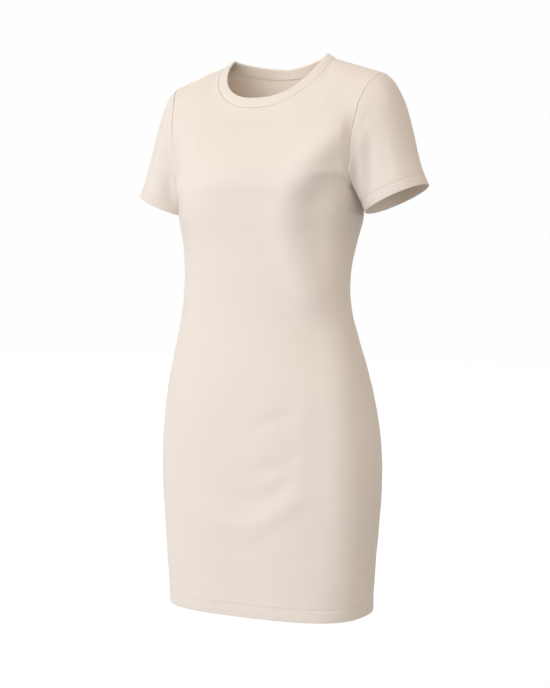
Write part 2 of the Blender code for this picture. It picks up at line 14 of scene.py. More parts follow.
import bpy
import numpy as np
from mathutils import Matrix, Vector


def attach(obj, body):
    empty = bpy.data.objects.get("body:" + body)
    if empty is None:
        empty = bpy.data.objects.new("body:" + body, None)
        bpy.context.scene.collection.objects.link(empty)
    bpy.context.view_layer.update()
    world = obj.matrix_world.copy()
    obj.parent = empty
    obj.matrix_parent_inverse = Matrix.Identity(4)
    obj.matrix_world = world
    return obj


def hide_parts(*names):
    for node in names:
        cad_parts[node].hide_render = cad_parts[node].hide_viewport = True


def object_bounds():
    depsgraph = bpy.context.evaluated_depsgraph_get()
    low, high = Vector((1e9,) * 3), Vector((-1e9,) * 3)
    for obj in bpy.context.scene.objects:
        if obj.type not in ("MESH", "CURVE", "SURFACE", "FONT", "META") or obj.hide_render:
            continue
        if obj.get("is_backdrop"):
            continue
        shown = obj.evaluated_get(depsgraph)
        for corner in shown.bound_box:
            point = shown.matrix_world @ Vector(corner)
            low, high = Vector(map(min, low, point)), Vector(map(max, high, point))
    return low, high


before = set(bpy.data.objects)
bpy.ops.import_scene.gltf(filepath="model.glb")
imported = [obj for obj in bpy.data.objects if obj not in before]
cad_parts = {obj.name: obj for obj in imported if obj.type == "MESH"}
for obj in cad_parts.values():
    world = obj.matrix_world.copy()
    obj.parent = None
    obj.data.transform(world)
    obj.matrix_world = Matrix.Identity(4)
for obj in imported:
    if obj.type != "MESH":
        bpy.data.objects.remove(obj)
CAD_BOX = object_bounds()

LOG = logging.getLogger("sheath_dress")
Points = np.ndarray
FULL_SHINE_HEIGHT = 0.004  # height of a fold whose crown gets the full painted highlight
SHARP_DEGREES = 50.0
FOLD_SAMPLES = 24
FOLD_REACH = 3  # half widths from a fold's line to where it is taken as flat
FOLD_TAPER = 4
WAVES = 28
MIRROR = np.array((-1.0, 1.0, 1.0))


class Face(Enum):
    """The two body panels, by the way their depth runs along Y."""

    FRONT = -1.0
    BACK = 1.0


class Side(Enum):
    """The wearer's two sides, by the sign of X."""

    LEFT = 1.0
    RIGHT = -1.0


class BodyRow(NamedTuple):
    """One level of the body: the side seam's place and the depths of front and back from it."""

    level: float
    half_width: float
    side_y: float
    front: float
    back: float
    front_power: float
    back_power: float


class ArmholeRow(NamedTuple):
    """One level of the armhole seam of the wearer's left side."""

    level: float
    x: float
    front_y: float
    back_y: float


class HalfOval(NamedTuple):
    """A half-oval of the neckline or of a level, from a side point to the centre line."""

    half_width: float
    side_y: float
    depth: float
    side_level: float
    drop: float
    power: float
    drop_power: float


class SleeveLeave(NamedTuple):
    """How the sleeve's cloth leaves the armhole at a turn: 0 is outermost, a quarter is the front."""

    turn: float
    out: float
    across: float
    down: float
    pull: float
    cuff_pull: float


class Fold(NamedTuple):
    """A ridge or trough through three places: how far out it stands, its half width, its line.

    On a panel a place is girth to the wearer's left and level; on a sleeve it is turn and the part
    of the way down.
    """

    out: float
    half_width: float
    u_1: float
    v_1: float
    u_2: float
    v_2: float
    u_3: float
    v_3: float


BODY_ROWS = (
    BodyRow(-0.8950, 0.1706, -0.0390, 0.0997, 0.1026, 2.78, 2.52),
    BodyRow(-0.8200, 0.1749, -0.0376, 0.1070, 0.1080, 2.69, 2.48),
    BodyRow(-0.7600, 0.1792, -0.0360, 0.1126, 0.1120, 2.62, 2.48),
    BodyRow(-0.7000, 0.1834, -0.0344, 0.1172, 0.1156, 2.56, 2.41),
    BodyRow(-0.6400, 0.1837, -0.0343, 0.1196, 0.1174, 2.53, 2.34),
    BodyRow(-0.5800, 0.1786, -0.0372, 0.1179, 0.1158, 2.46, 2.26),
    BodyRow(-0.5200, 0.1683, -0.0419, 0.1124, 0.1105, 2.40, 2.18),
    BodyRow(-0.4700, 0.1557, -0.0471, 0.1048, 0.1040, 2.35, 2.14),
    BodyRow(-0.4200, 0.1436, -0.0527, 0.0974, 0.0987, 2.30, 2.14),
    BodyRow(-0.3750, 0.1399, -0.0559, 0.0941, 0.0979, 2.31, 2.23),
    BodyRow(-0.3400, 0.1401, -0.0542, 0.0964, 0.1013, 2.31, 2.39),
    BodyRow(-0.3000, 0.1431, -0.0456, 0.1063, 0.1083, 2.35, 2.53),
    BodyRow(-0.2600, 0.1502, -0.0396, 0.1155, 0.1165, 2.42, 2.64),
    BodyRow(-0.2220, 0.1519, -0.0393, 0.1191, 0.1215, 2.47, 2.71),
)
HEM_LEVEL = BODY_ROWS[0].level
UNDERARM_LEVEL = BODY_ROWS[-1].level
ARMHOLE_ROWS = (
    ArmholeRow(-0.2220, 0.1519, -0.0393, -0.0393),
    ArmholeRow(-0.2165, 0.1567, -0.0590, -0.0110),
    ArmholeRow(-0.2000, 0.1544, -0.0786, 0.0110),
    ArmholeRow(-0.1750, 0.1576, -0.0801, 0.0290),
    ArmholeRow(-0.1450, 0.1594, -0.0811, 0.0400),
    ArmholeRow(-0.1150, 0.1636, -0.0753, 0.0445),
    ArmholeRow(-0.0900, 0.1670, -0.0674, 0.0430),
    ArmholeRow(-0.0650, 0.1734, -0.0520, 0.0340),
    ArmholeRow(-0.0480, 0.1799, -0.0341, 0.0190),
    ArmholeRow(-0.0383, 0.1824, -0.0050, -0.0050),
)
SHOULDER_TIP = np.array((0.1824, -0.0050, -0.0383))
NECK_SEAMS = {
    Face.FRONT: HalfOval(0.1004, -0.0051, 0.0862, -0.0105, 0.0816, 2.33, 1.23),
    Face.BACK: HalfOval(0.1004, -0.0051, 0.0400, -0.0105, 0.0190, 2.00, 1.80),
}
NECK_EDGES = {
    Face.FRONT: HalfOval(0.0841, -0.0017, 0.0815, 0.0000, 0.0750, 2.50, 1.06),
    Face.BACK: HalfOval(0.0841, -0.0017, 0.0290, 0.0000, 0.0160, 1.33, 1.40),
}
SLEEVE_LEAVES = (
    SleeveLeave(0.00, 0.84, 0.18, -0.49, 0.128, 0.313),
    SleeveLeave(0.20, 0.85, 0.12, -0.46, 0.100, 0.300),
    SleeveLeave(0.30, 0.60, 0.15, -0.75, 0.080, 0.220),
    SleeveLeave(0.40, 0.25, 0.08, -0.96, 0.045, 0.070),
    SleeveLeave(0.50, 0.60, 0.00, -0.80, 0.025, 0.040),
    SleeveLeave(0.75, 0.83, 0.48, -0.41, 0.177, 0.057),
    SleeveLeave(1.00, 0.84, 0.18, -0.49, 0.128, 0.313),
)
PANEL_FOLDS = {
    Face.FRONT: (
        Fold(0.0100, 0.028, 0.168, -0.133, 0.122, -0.179, 0.077, -0.254),
        Fold(0.0055, 0.050, -0.060, -0.225, -0.082, -0.238, -0.100, -0.225),
        Fold(-0.0034, 0.027, 0.152, -0.228, 0.126, -0.270, 0.136, -0.345),
        Fold(-0.0030, 0.022, -0.180, -0.145, -0.160, -0.178, -0.135, -0.200),
        Fold(0.0026, 0.009, 0.190, -0.203, 0.147, -0.200, 0.110, -0.208),
        Fold(0.0016, 0.009, -0.190, -0.213, -0.155, -0.210, -0.125, -0.216),
        Fold(-0.0022, 0.017, -0.190, -0.238, -0.150, -0.242, -0.115, -0.254),
        Fold(0.0062, 0.026, 0.070, -0.262, 0.089, -0.330, 0.124, -0.420),
        Fold(-0.0026, 0.026, -0.125, -0.290, -0.146, -0.345, -0.162, -0.400),
        Fold(0.0008, 0.016, 0.106, -0.480, 0.108, -0.610, 0.094, -0.750),
        Fold(0.0054, 0.035, 0.156, -0.440, 0.168, -0.630, 0.158, -0.870),
        Fold(0.0014, 0.026, -0.162, -0.450, -0.176, -0.640, -0.166, -0.860),
        Fold(0.0021, 0.015, -0.068, -0.722, 0.028, -0.744, 0.112, -0.680),
        Fold(-0.0008, 0.014, -0.034, -0.776, 0.041, -0.774, 0.108, -0.714),
        Fold(-0.0015, 0.012, 0.000, -0.706, 0.056, -0.696, 0.094, -0.662),
        Fold(-0.0014, 0.012, 0.026, -0.658, 0.073, -0.648, 0.106, -0.626),
        Fold(-0.0013, 0.012, 0.030, -0.592, 0.065, -0.581, 0.092, -0.564),
    ),
    Face.BACK: (
        Fold(0.0035, 0.050, 0.060, -0.130, 0.085, -0.150, 0.095, -0.185),
        Fold(0.0035, 0.050, -0.060, -0.130, -0.085, -0.150, -0.095, -0.185),
        Fold(-0.0035, 0.020, 0.190, -0.150, 0.165, -0.185, 0.140, -0.212),
        Fold(-0.0030, 0.020, -0.190, -0.158, -0.165, -0.190, -0.142, -0.215),
        Fold(-0.0026, 0.013, 0.190, -0.235, 0.140, -0.262, 0.092, -0.292),
        Fold(-0.0022, 0.013, -0.190, -0.240, -0.145, -0.270, -0.100, -0.304),
        Fold(-0.0026, 0.012, -0.080, -0.362, -0.012, -0.376, 0.060, -0.364),
        Fold(-0.0032, 0.013, -0.070, -0.408, 0.005, -0.424, 0.085, -0.405),
        Fold(-0.0018, 0.011, 0.020, -0.452, 0.072, -0.458, 0.118, -0.444),
        Fold(0.0030, 0.014, -0.105, -0.672, -0.020, -0.716, 0.082, -0.690),
        Fold(-0.0026, 0.012, -0.060, -0.752, 0.015, -0.758, 0.090, -0.735),
        Fold(-0.0018, 0.011, -0.092, -0.640, -0.048, -0.662, 0.010, -0.664),
    ),
}
SLEEVE_FOLDS = {
    Side.LEFT: (
        Fold(0.0022, 0.014, 0.272, 0.15, 0.303, 0.38, 0.345, 0.70),
        Fold(-0.0022, 0.013, 0.215, 0.28, 0.250, 0.55, 0.290, 0.82),
        Fold(0.0018, 0.017, 0.130, 0.34, 0.135, 0.65, 0.150, 0.92),
        Fold(-0.0014, 0.011, 0.150, 0.20, 0.190, 0.15, 0.235, 0.12),
        Fold(-0.0024, 0.014, 0.790, 0.20, 0.745, 0.50, 0.700, 0.82),
        Fold(0.0018, 0.015, 0.870, 0.30, 0.855, 0.60, 0.845, 0.92),
    ),
    Side.RIGHT: (
        Fold(-0.0024, 0.013, 0.315, 0.15, 0.310, 0.55, 0.340, 0.86),
        Fold(0.0018, 0.016, 0.195, 0.30, 0.213, 0.65, 0.230, 0.92),
        Fold(-0.0020, 0.014, 0.775, 0.26, 0.735, 0.55, 0.692, 0.86),
        Fold(0.0016, 0.015, 0.880, 0.34, 0.862, 0.65, 0.850, 0.90),
    ),
}


def unit(vectors: Points) -> Points:
    """Vectors scaled to length one along the last axis."""
    return vectors / np.maximum(np.linalg.norm(vectors, axis=-1, keepdims=True), 1e-12)


def smoothstep(values: Points) -> Points:
    """Eased zero to one, held at both ends."""
    eased = np.clip(values, 0.0, 1.0)
    return eased**2 * (3 - 2 * eased)


def hermite(t: Points, start: Points, leave: Points, end: Points, arrive: Points) -> Points:
    """A smooth curve between two ends.

    Args:
        t: Parts of the way.
        start: Where the curve starts.
        leave: Its slope there.
        end: Where it ends.
        arrive: Its slope there.

    Returns:
        The curve at each part of the way.
    """
    rise = (2 * t**3 - 3 * t**2 + 1) * start + (3 * t**2 - 2 * t**3) * end
    return rise + (t**3 - 2 * t**2 + t) * leave + (t**3 - t**2) * arrive


def smooth_table(places: Sequence[float], values: Sequence, where: Points) -> Points:
    """Reads a table along a smooth curve.

    Args:
        places: The rows' places, rising.
        values: One row of numbers a place.
        where: The places to read at.

    Returns:
        A row of numbers for each place asked.
    """
    places = np.asarray(places, float)
    values = np.asarray(values, float)
    slopes = np.gradient(values, places, axis=0)
    index = np.clip(np.searchsorted(places, where) - 1, 0, len(places) - 2)
    span = (places[index + 1] - places[index])[..., None]
    t = (where - places[index])[..., None] / span
    return hermite(t, values[index], slopes[index] * span, values[index + 1], slopes[index + 1] * span)


def along(points: Points, fractions: Points) -> Points:
    """Points on a polyline.

    Args:
        points: The polyline.
        fractions: Parts of its length.

    Returns:
        A point for each part.
    """
    steps = np.linalg.norm(np.diff(points, axis=0), axis=1)
    length = np.concatenate(([0.0], np.cumsum(steps)))
    where = np.asarray(fractions) * length[-1]
    return np.stack([np.interp(where, length, values) for values in points.T], axis=-1)


def reach_along(grid: Points, axis: int) -> Points:
    """Distance run over a grid from its first line.

    Args:
        grid: The grid's points.
        axis: The axis to run along.

    Returns:
        A distance for each point.
    """
    steps = np.linalg.norm(np.diff(grid, axis=axis), axis=-1)
    start = np.zeros_like(np.take(steps, [0], axis=axis))
    return np.concatenate([start, np.cumsum(steps, axis=axis)], axis=axis)


def finer(rows: Points, parts: int) -> Points:
    """Cuts each step of a padded stack of rows into equal parts, along a smooth curve.

    Args:
        rows: The rows, with one more at each end that only sets the curve's slope there.
        parts: How many parts each step is cut into.

    Returns:
        The finer rows, without the added ends.
    """
    before, start, end, after = rows[:-3], rows[1:-2], rows[2:-1], rows[3:]
    leave, arrive = (end - before) / 2, (after - start) / 2
    cut = [hermite(t, start, leave, end, arrive) for t in np.arange(parts) / parts]
    whole = np.stack(cut, axis=1).reshape(-1, *rows.shape[1:])
    return np.concatenate([whole, rows[-2:-1]])


def direction(rows: Points) -> Points:
    """Mean direction of the steps before and after each row."""
    steps = unit(np.diff(rows, axis=0))
    return unit(np.concatenate([steps[:1], unit(steps[1:] + steps[:-1]), steps[-1:]]))


def padded(rows: Points) -> Points:
    """A stack of rows with one more at each end, in line with the last two."""
    return np.concatenate([2 * rows[:1] - rows[1:2], rows, 2 * rows[-1:] - rows[-2:-1]])


def fold_height(places: Points, folds: Sequence[Fold], scale: Points) -> Points:
    """How far the cloth stands out at each place, from its ridges and troughs.

    Args:
        places: Places on the cloth, in metres.
        folds: The ridges and troughs.
        scale: Metres for one unit of the folds' own places.

    Returns:
        Heights in metres.
    """
    height = np.zeros(places.shape[:-1])
    t = np.linspace(0.0, 1.0, FOLD_SAMPLES)[:, None]
    for fold in folds:
        start, middle, end = (np.array(fold[i : i + 2]) * scale for i in (2, 4, 6))
        line = 2 * (t - 0.5) * (t - 1) * start + 4 * t * (1 - t) * middle + 2 * t * (t - 0.5) * end
        low = line.min(axis=0) - FOLD_REACH * fold.half_width
        high = line.max(axis=0) + FOLD_REACH * fold.half_width
        near = np.all((places > low) & (places < high), axis=-1)
        away = np.linalg.norm(places[near][:, None, :] - line, axis=-1)
        taper = 1 - (2 * t[:, 0] - 1) ** FOLD_TAPER
        height[near] += fold.out * (np.exp(-((away / fold.half_width) ** 2)) * taper).max(axis=-1)
    return height


class Hang(NamedTuple):
    """Unevenness of cloth that hangs free: its root mean square height and its waves' lengths."""

    spread: float
    shortest: float
    longest: float


SEEDS = {Face.FRONT: 11, Face.BACK: 12, Side.LEFT: 21, Side.RIGHT: 22}


def drift(places: Points, part: Face | Side, hang: Hang) -> Points:
    """Gentle unevenness of cloth that hangs free: a few seeded waves of mixed lengths.

    Args:
        places: Places on the cloth, in metres.
        part: The piece, which sets the seed.
        hang: How uneven the cloth is.

    Returns:
        Heights in metres.
    """
    random = np.random.default_rng(SEEDS[part])
    total = np.zeros(places.shape[:-1])
    for _ in range(WAVES):
        length = hang.shortest * (hang.longest / hang.shortest) ** random.random()
        turn, phase = random.random(2) * 2 * math.pi
        wave = np.array((math.cos(turn), math.sin(turn))) * 2 * math.pi / length
        total += np.sin(places @ wave + phase)
    return total * hang.spread * math.sqrt(2 / WAVES)


@dataclass(frozen=True)
class DressCut:
    """The curves that the dress's pieces share."""

    curve_steps: int = 240
    shoulder_columns: int = 5
    neck_columns: int = 10
    chest_rows: int = 14

    def body_arc(self, level: float, face: Face, fractions: Points) -> Points:
        """One level of a panel.

        Args:
            level: Height of the level.
            face: Front or back.
            fractions: Parts of the way from the side seam to the centre line.

        Returns:
            The points of the wearer's left half.
        """
        levels = [row.level for row in BODY_ROWS]
        row = BodyRow(*smooth_table(levels, BODY_ROWS, np.array([level]))[0])
        depth = row.front if face is Face.FRONT else row.back
        power = row.front_power if face is Face.FRONT else row.back_power
        oval = HalfOval(row.half_width, row.side_y, depth, level, 0.0, power, 1.0)
        return self.half_oval(oval, face, fractions)

    def armhole_half(self, face: Face, fractions: Points) -> Points:
        """The armhole seam of a half panel.

        Args:
            face: Front or back.
            fractions: Parts of the way from the underarm to the shoulder tip.

        Returns:
            The points of the wearer's left side.
        """
        front = [(row.x, row.front_y, row.level) for row in ARMHOLE_ROWS]
        back = [(row.x, row.back_y, row.level) for row in ARMHOLE_ROWS]
        near, far = (front, back) if face is Face.FRONT else (back, front)
        loop = near + far[-2:0:-1]
        turns = np.array(loop[-3:] + loop + loop[:4])
        knots = np.arange(len(turns)) - 3.0
        dense = smooth_table(knots, turns, np.linspace(0.0, len(ARMHOLE_ROWS) - 1.0, self.curve_steps))
        return along(dense, fractions)

    def half_oval(self, oval: HalfOval, face: Face, fractions: Points) -> Points:
        """A half-oval's points.

        Args:
            oval: The half-oval.
            face: Front or back.
            fractions: Parts of the way from its side point to the centre line.

        Returns:
            The points of the wearer's left half.
        """
        angle = np.linspace(0.0, math.pi / 2, self.curve_steps)
        x = oval.half_width * np.cos(angle) ** (2 / oval.power)
        y = oval.side_y + face.value * oval.depth * np.sin(angle) ** (2 / oval.power)
        z = oval.side_level - oval.drop * np.sin(angle) ** oval.drop_power
        return along(np.stack([x, y, z], axis=-1), fractions)

    def top_edge(self, face: Face, parts: int) -> Points:
        """Shoulder and neckline seam of a half panel.

        Args:
            face: Front or back.
            parts: How many parts each column is cut into.

        Returns:
            Points from the shoulder tip to the centre line.
        """
        neck = np.linspace(0.0, 1.0, self.neck_columns * parts + 1)
        seam = self.half_oval(NECK_SEAMS[face], face, neck)
        t = np.linspace(0.0, 1.0, self.shoulder_columns * parts + 1)[:-1, None]
        return np.concatenate([SHOULDER_TIP + (seam[0] - SHOULDER_TIP) * t, seam])

    def band_rise(self, face: Face) -> Points:
        """Directions in which the neckband leaves the neckline.

        Args:
            face: Front or back.

        Returns:
            A direction for each column of the whole panel.
        """
        fractions = np.linspace(0.0, 1.0, self.neck_columns + 1)
        edge = self.half_oval(NECK_EDGES[face], face, fractions)
        half = unit(edge - self.half_oval(NECK_SEAMS[face], face, fractions))
        return self.mirrored(half[None])[0]

    @staticmethod
    def mirrored(half: Points) -> Points:
        """Both halves of a panel, from the wearer's left side to the right."""
        return np.concatenate([half, half[:, -2::-1] * MIRROR], axis=1)


@dataclass
class ChestCloth:
    """The cloth over the chest: the smoothest one between the panels' edges."""

    cut: DressCut
    corner_rows: int = 3
    corner_hold: float = 2.0
    corner_step: float = 0.015
    corner_samples: int = 60
    corner_ahead: int = 3
    skirt_step: float = 0.018

    @property
    def across(self) -> Points:
        """Parts of the way across a half panel where the coarse columns stand."""
        return np.linspace(0.0, 1.0, self.cut.shoulder_columns + self.cut.neck_columns + 1)

    def level_step(self, face: Face, seam: Points, sign: float) -> Points:
        """One level step from the armhole's lower corner towards the centre line.

        Args:
            face: Front or back.
            seam: A point of the armhole's seam.
            sign: Side of the body, as the sign of X.

        Returns:
            The step.
        """
        arc = self.cut.body_arc(float(seam[2]), face, np.linspace(0.0, 1.0, self.corner_samples))
        near = int(np.argmin(np.abs(arc[:, 1] - seam[1])))
        ahead = unit(arc[min(near + self.corner_ahead, self.corner_samples - 1)] - arc[near])
        return ahead * self.corner_step * np.array((sign, 1.0, 1.0))

    def edges(self, face: Face) -> Points:
        """A coarse chest grid whose edges are right, with plain cloth between them.

        Args:
            face: Front or back.

        Returns:
            The grid of the whole panel.
        """
        rows = np.linspace(0.0, 1.0, self.cut.chest_rows + 1)
        lower = self.cut.body_arc(UNDERARM_LEVEL, face, self.across)
        half = lower + (self.cut.top_edge(face, 1) - lower) * rows[:, None, None]
        half[:, 0] = self.cut.armhole_half(face, rows)
        return self.cut.mirrored(half)

    def below(self, face: Face, grid: Points) -> Points:
        """One more row under the chest grid, in line with the skirt's cloth.

        Args:
            face: Front or back.
            grid: The chest grid.

        Returns:
            The row.
        """
        arc = self.cut.body_arc(UNDERARM_LEVEL - self.skirt_step, face, self.across)
        under = self.cut.mirrored(arc[None])[0]
        upward = unit(grid[0] - under)
        lengths = np.linalg.norm(grid[-1] - grid[0], axis=1)[:, None] / self.cut.chest_rows
        return grid[0] - upward * lengths

    def solve(self) -> dict[Face, Points]:
        """Finds the chest grids with the least sum of squared bends.

        Returns:
            The coarse grid of each panel, with one more row at each end that sets its slope.
        """
        faces = (Face.FRONT, Face.BACK)
        grids = [self.edges(face) for face in faces]
        rows, columns = grids[0].shape[:2]
        points = np.concatenate([grid.reshape(-1, 3) for grid in grids])
        number = np.arange(len(points)).reshape(2, rows, columns)
        free = np.zeros(number.shape, bool)
        free[:, 1:-1, 1:-1] = True
        bends: list[tuple[Sequence[int], Sequence[float], Points]] = []
        level = np.zeros(3)
        ends = []
        shoulder = self.cut.shoulder_columns
        for face, grid, own in zip(faces, grids, number):
            for row in range(1, rows - 1):
                for column in range(1, columns - 1):
                    bends.append((own[row - 1 : row + 2, column], (1, -2, 1), level))
                    bends.append((own[row, column - 1 : column + 2], (1, -2, 1), level))
            for row in range(rows - 1):
                for column in range(columns - 1):
                    corners = own[row : row + 2, column : column + 2].reshape(-1)
                    bends.append((corners, (1, -1, -1, 1), level))
            start = self.below(face, grid)
            end = 2 * grid[-1] - grid[-2]
            step = np.linalg.norm(grid[-1] - grid[0], axis=1)[:, None] / self.cut.chest_rows
            neck = slice(shoulder, columns - shoulder)
            end[neck] = grid[-1, neck] + self.cut.band_rise(face) * step[neck]
            ends.append((start, end))
            for column in range(1, columns - 1):
                bends.append((own[:2, column], (-2, 1), -start[column]))
                if shoulder < column < columns - 1 - shoulder:
                    bends.append((own[:-3:-1, column], (-2, 1), -end[column]))
            for row in range(1, self.corner_rows + 1):
                for side, inner, sign in ((0, 1, 1.0), (columns - 1, columns - 2, -1.0)):
                    ahead = self.level_step(face, grid[row, side], sign)
                    line = (own[row, side], own[row, inner])
                    bends.append((line, (-self.corner_hold, self.corner_hold), self.corner_hold * ahead))
        seams = [c for c in range(1, columns - 1) if not shoulder < c < columns - 1 - shoulder]
        for column in seams:
            over = (number[0, -2, column], number[0, -1, column], number[1, -2, column])
            bends.append((over, (1, -2, 1), level))
        matrix = np.zeros((len(bends), len(points)))
        for line, (numbers, factors, _) in enumerate(bends):
            matrix[line, list(numbers)] = factors
        free = free.reshape(-1)
        rests = np.array([rest for _, _, rest in bends])
        known = rests - matrix[:, ~free] @ points[~free]
        moving = matrix[:, free]
        points[free] = np.linalg.solve(moving.T @ moving, moving.T @ known)
        front, back = points.reshape(2, rows, columns, 3)
        whole = {}
        for face, own, other, (start, end) in zip(faces, (front, back), (back, front), ends):
            end[seams] = other[-2, seams]
            for corner in (0, columns - 1):
                end[corner] = 2 * own[-1, corner] - own[-2, corner]
            whole[face] = np.concatenate([start[None], own, end[None]])
        return whole


@dataclass
class SeamEdge:
    """How cloth turns in at a seam: the gap to its neighbour, the bend and the allowance."""

    gap: float = 0.00020
    bend: float = 0.0008
    beyond: float = 0.0020
    steps: int = 4
    allowance: float = 0.0065
    bend_share: float = 0.30
    beyond_share: float = 0.62

    @property
    def lines(self) -> int:
        """How many lines of points an edge gets in place of one."""
        return self.steps + 4

    def rolled(self, edge: Points, inner: Points, inward: Points, allowance: Points) -> Points:
        """The lines of points of a seam edge, from the end of its allowance to the open cloth.

        Args:
            edge: Points on the seam line.
            inner: The next line of points on the cloth.
            inward: Direction into the garment at each point.
            allowance: Length of the allowance at each point.

        Returns:
            The lines, one after another.
        """
        over = unit(inner - edge)
        bend, beyond = self.reaches(edge, inner)
        start = edge + over * self.gap / 2
        deep = allowance[:, None]
        lines = [start + inward * (bend + deep), start + inward * (bend + deep / 2)]
        for angle in np.linspace(math.pi / 2, 0.0, self.steps + 1):
            across = over * bend * (1 - math.sin(angle))
            lines.append(start + across + inward * bend * (1 - math.cos(angle)))
        lines.append(start + over * beyond)
        return np.stack(lines)

    def reaches(self, edge: Points, inner: Points) -> tuple[Points, Points]:
        """Sizes that are kept short of the next points.

        Args:
            edge: Points on the seam line.
            inner: The next line of points on the cloth.

        Returns:
            Size of the bend and reach of the last line, at each point.
        """
        room = np.linalg.norm(inner - edge, axis=1, keepdims=True)
        bend = np.minimum(self.bend, self.bend_share * room)
        return bend, np.minimum(self.beyond, self.beyond_share * room)

    def plain(self, edge: Points, inner: Points) -> Points:
        """The same lines laid out flat on the open cloth, right up to the seam line.

        Args:
            edge: Points on the seam line.
            inner: The next line of points on the cloth.

        Returns:
            The lines, one after another.
        """
        over = unit(inner - edge)
        bend, beyond = self.reaches(edge, inner)
        steps = [bend * part for part in np.linspace(0.0, 1.0, self.lines - 1)]
        return np.stack([edge + over * (self.gap / 2 + step) for step in (*steps, beyond)])


@dataclass
class Sheet:
    """A cut piece of cloth on its form, with its seams, turned-up hem and thickness.

    Its grid runs from the hem up, and across from one seam to the other.
    """

    name: str
    grid: Points
    inward: Points
    side_allowance: Points
    top_allowance: Points
    hem_rows: int
    edge: SeamEdge
    thickness: float = 0.00095
    hem_gap: float = 0.00012
    hem_steps: int = 6

    @property
    def first_row(self) -> int:
        """The surface's row where the grid's own rows start."""
        return self.hem_rows + self.hem_steps - 1

    @staticmethod
    def widened(middle: Points, left: Points, right: Points) -> Points:
        """Rows with the lines of both edges at their ends."""
        return np.concatenate([left.swapaxes(0, 1), middle, right[::-1].swapaxes(0, 1)], axis=1)

    def surface(self) -> Points:
        """The outer skin with rolled seam edges and the turned-up hem.

        Returns:
            Rows of points: the turned-up layer, the fold, the cloth and the top allowance.
        """
        grid, inward = self.grid, self.inward
        left = self.edge.rolled(grid[:, 0], grid[:, 1], inward[:, 0], self.side_allowance)
        right = self.edge.rolled(grid[:, -1], grid[:, -2], inward[:, -1], self.side_allowance)
        wide = self.widened(grid[:, 1:-1], left, right)
        flat_left = self.edge.plain(grid[:, 0], grid[:, 1])
        flat_right = self.edge.plain(grid[:, -1], grid[:, -2])
        plain = self.widened(grid[:, 1:-1], flat_left, flat_right)
        lines = self.edge.lines
        ends = (np.repeat(inward[None, :, end], lines, axis=0) for end in (0, -1))
        into = self.widened(inward[:, 1:-1], *ends)
        allowance = np.concatenate([np.zeros(lines), self.top_allowance[1:-1], np.zeros(lines)])
        top = self.edge.rolled(wide[-1], wide[-2], into[-1], allowance)
        hem = self.turned_up(plain, into)
        return np.concatenate([hem, wide[:-1], top[::-1]])

    def turned_up(self, plain: Points, into: Points) -> Points:
        """The hem's inner layer and its fold.

        Args:
            plain: The cloth's rows, laid flat at the seams.
            into: Directions into the garment.

        Returns:
            Rows from the layer's top down and round the fold.
        """
        radius = self.thickness + self.hem_gap / 2
        inner = plain[: self.hem_rows] + into[: self.hem_rows] * 2 * radius
        middle = plain[0] + into[0] * radius
        up = unit(plain[1] - plain[0])
        fold = []
        for angle in np.linspace(0.0, math.pi, self.hem_steps + 1)[1:-1]:
            fold.append(middle + (into[0] * math.cos(angle) - up * math.sin(angle)) * radius)
        return np.concatenate([inner[::-1], np.stack(fold)])

    def lining_up(self, surface: Points) -> Points:
        """Outward directions of the finished skin, from its own neighbours.

        Args:
            surface: The skin's points.

        Returns:
            A direction for each point.
        """
        up = direction(surface)
        across = direction(surface.swapaxes(0, 1)).swapaxes(0, 1)
        normals = unit(np.cross(up, across))
        lines = self.edge.lines
        cloth = normals[self.first_row : -lines, lines:-lines]
        return normals * -np.sign((cloth * self.inward[:-1, 1:-1]).sum())

    def make(self, bump: Points) -> bpy.types.Object:
        """Builds the piece.

        Args:
            bump: How raised each point of the grid is, from minus one to one, which sets the painted
                highlight on its crowns.

        Returns:
            The piece as an object.
        """
        outer = self.surface()
        inner = outer - self.lining_up(outer) * self.thickness
        rows, columns = outer.shape[:2]
        girth = reach_along(outer, 1)
        girth -= girth[:, -1:] / 2
        height = np.broadcast_to(reach_along(outer, 0)[:, columns // 2, None], girth.shape)
        maps = np.stack([girth, height], axis=-1)
        index = np.arange(rows * columns).reshape(rows, columns)
        low, right = index[:-1, :-1], index[:-1, 1:]
        up, corner = index[1:, :-1], index[1:, 1:]
        quads = np.stack([low, right, corner, up], axis=-1).reshape(-1, 4)
        under = quads[:, ::-1] + rows * columns
        loop = np.concatenate([index[0], index[1:, -1], index[-1, -2::-1], index[-2:0:-1, 0]])
        after = np.roll(loop, -1)
        rim = np.stack([after, loop, loop + rows * columns, after + rows * columns], axis=-1)
        faces = np.concatenate([quads, under, rim])
        lines = self.edge.lines
        raised, hidden = np.zeros((2, rows, columns))
        raised[self.first_row : self.first_row + len(bump) - 1, lines:-lines] = bump[:-1, 1:-1]
        hidden[: self.hem_rows] = 1.0
        skins = [(outer, inner), (maps, maps), (raised, raised), (hidden, np.ones_like(hidden))]
        points, maps, raised, hidden = (np.concatenate(pair) for pair in skins)
        return cloth_piece(self.name, points, faces.tolist(), maps, raised, hidden)


class Ramp(NamedTuple):
    """An eased rise from nought to one: where it starts and how long it is."""

    start: float
    length: float

    def at(self, values: Points) -> Points:
        """The ramp's height at some values."""
        return smoothstep((values - self.start) / self.length)


@dataclass(frozen=True)
class PaintedInsideGlow:
    """Painted light: a glow on the cloth's inside that stands in for light through it, most at the back
    of the neck, some in the sleeves.
    """

    everywhere: float = 0.05
    sleeves: float = 0.21
    neck: float = 0.74
    sideways: Ramp = Ramp(0.14, 0.03)
    behind: Ramp = Ramp(-0.005, 0.025)
    high: Ramp = Ramp(-0.16, 0.08)

    def at(self, points: Points) -> Points:
        """How strong the painted glow is.

        Args:
            points: Places in the frame.

        Returns:
            Parts of the full glow, one a place.
        """
        in_sleeve = self.sideways.at(np.abs(points[..., 0]))
        at_neck = self.behind.at(points[..., 1]) * self.high.at(points[..., 2])
        return self.everywhere + self.sleeves * in_sleeve + self.neck * at_neck * (1 - in_sleeve)


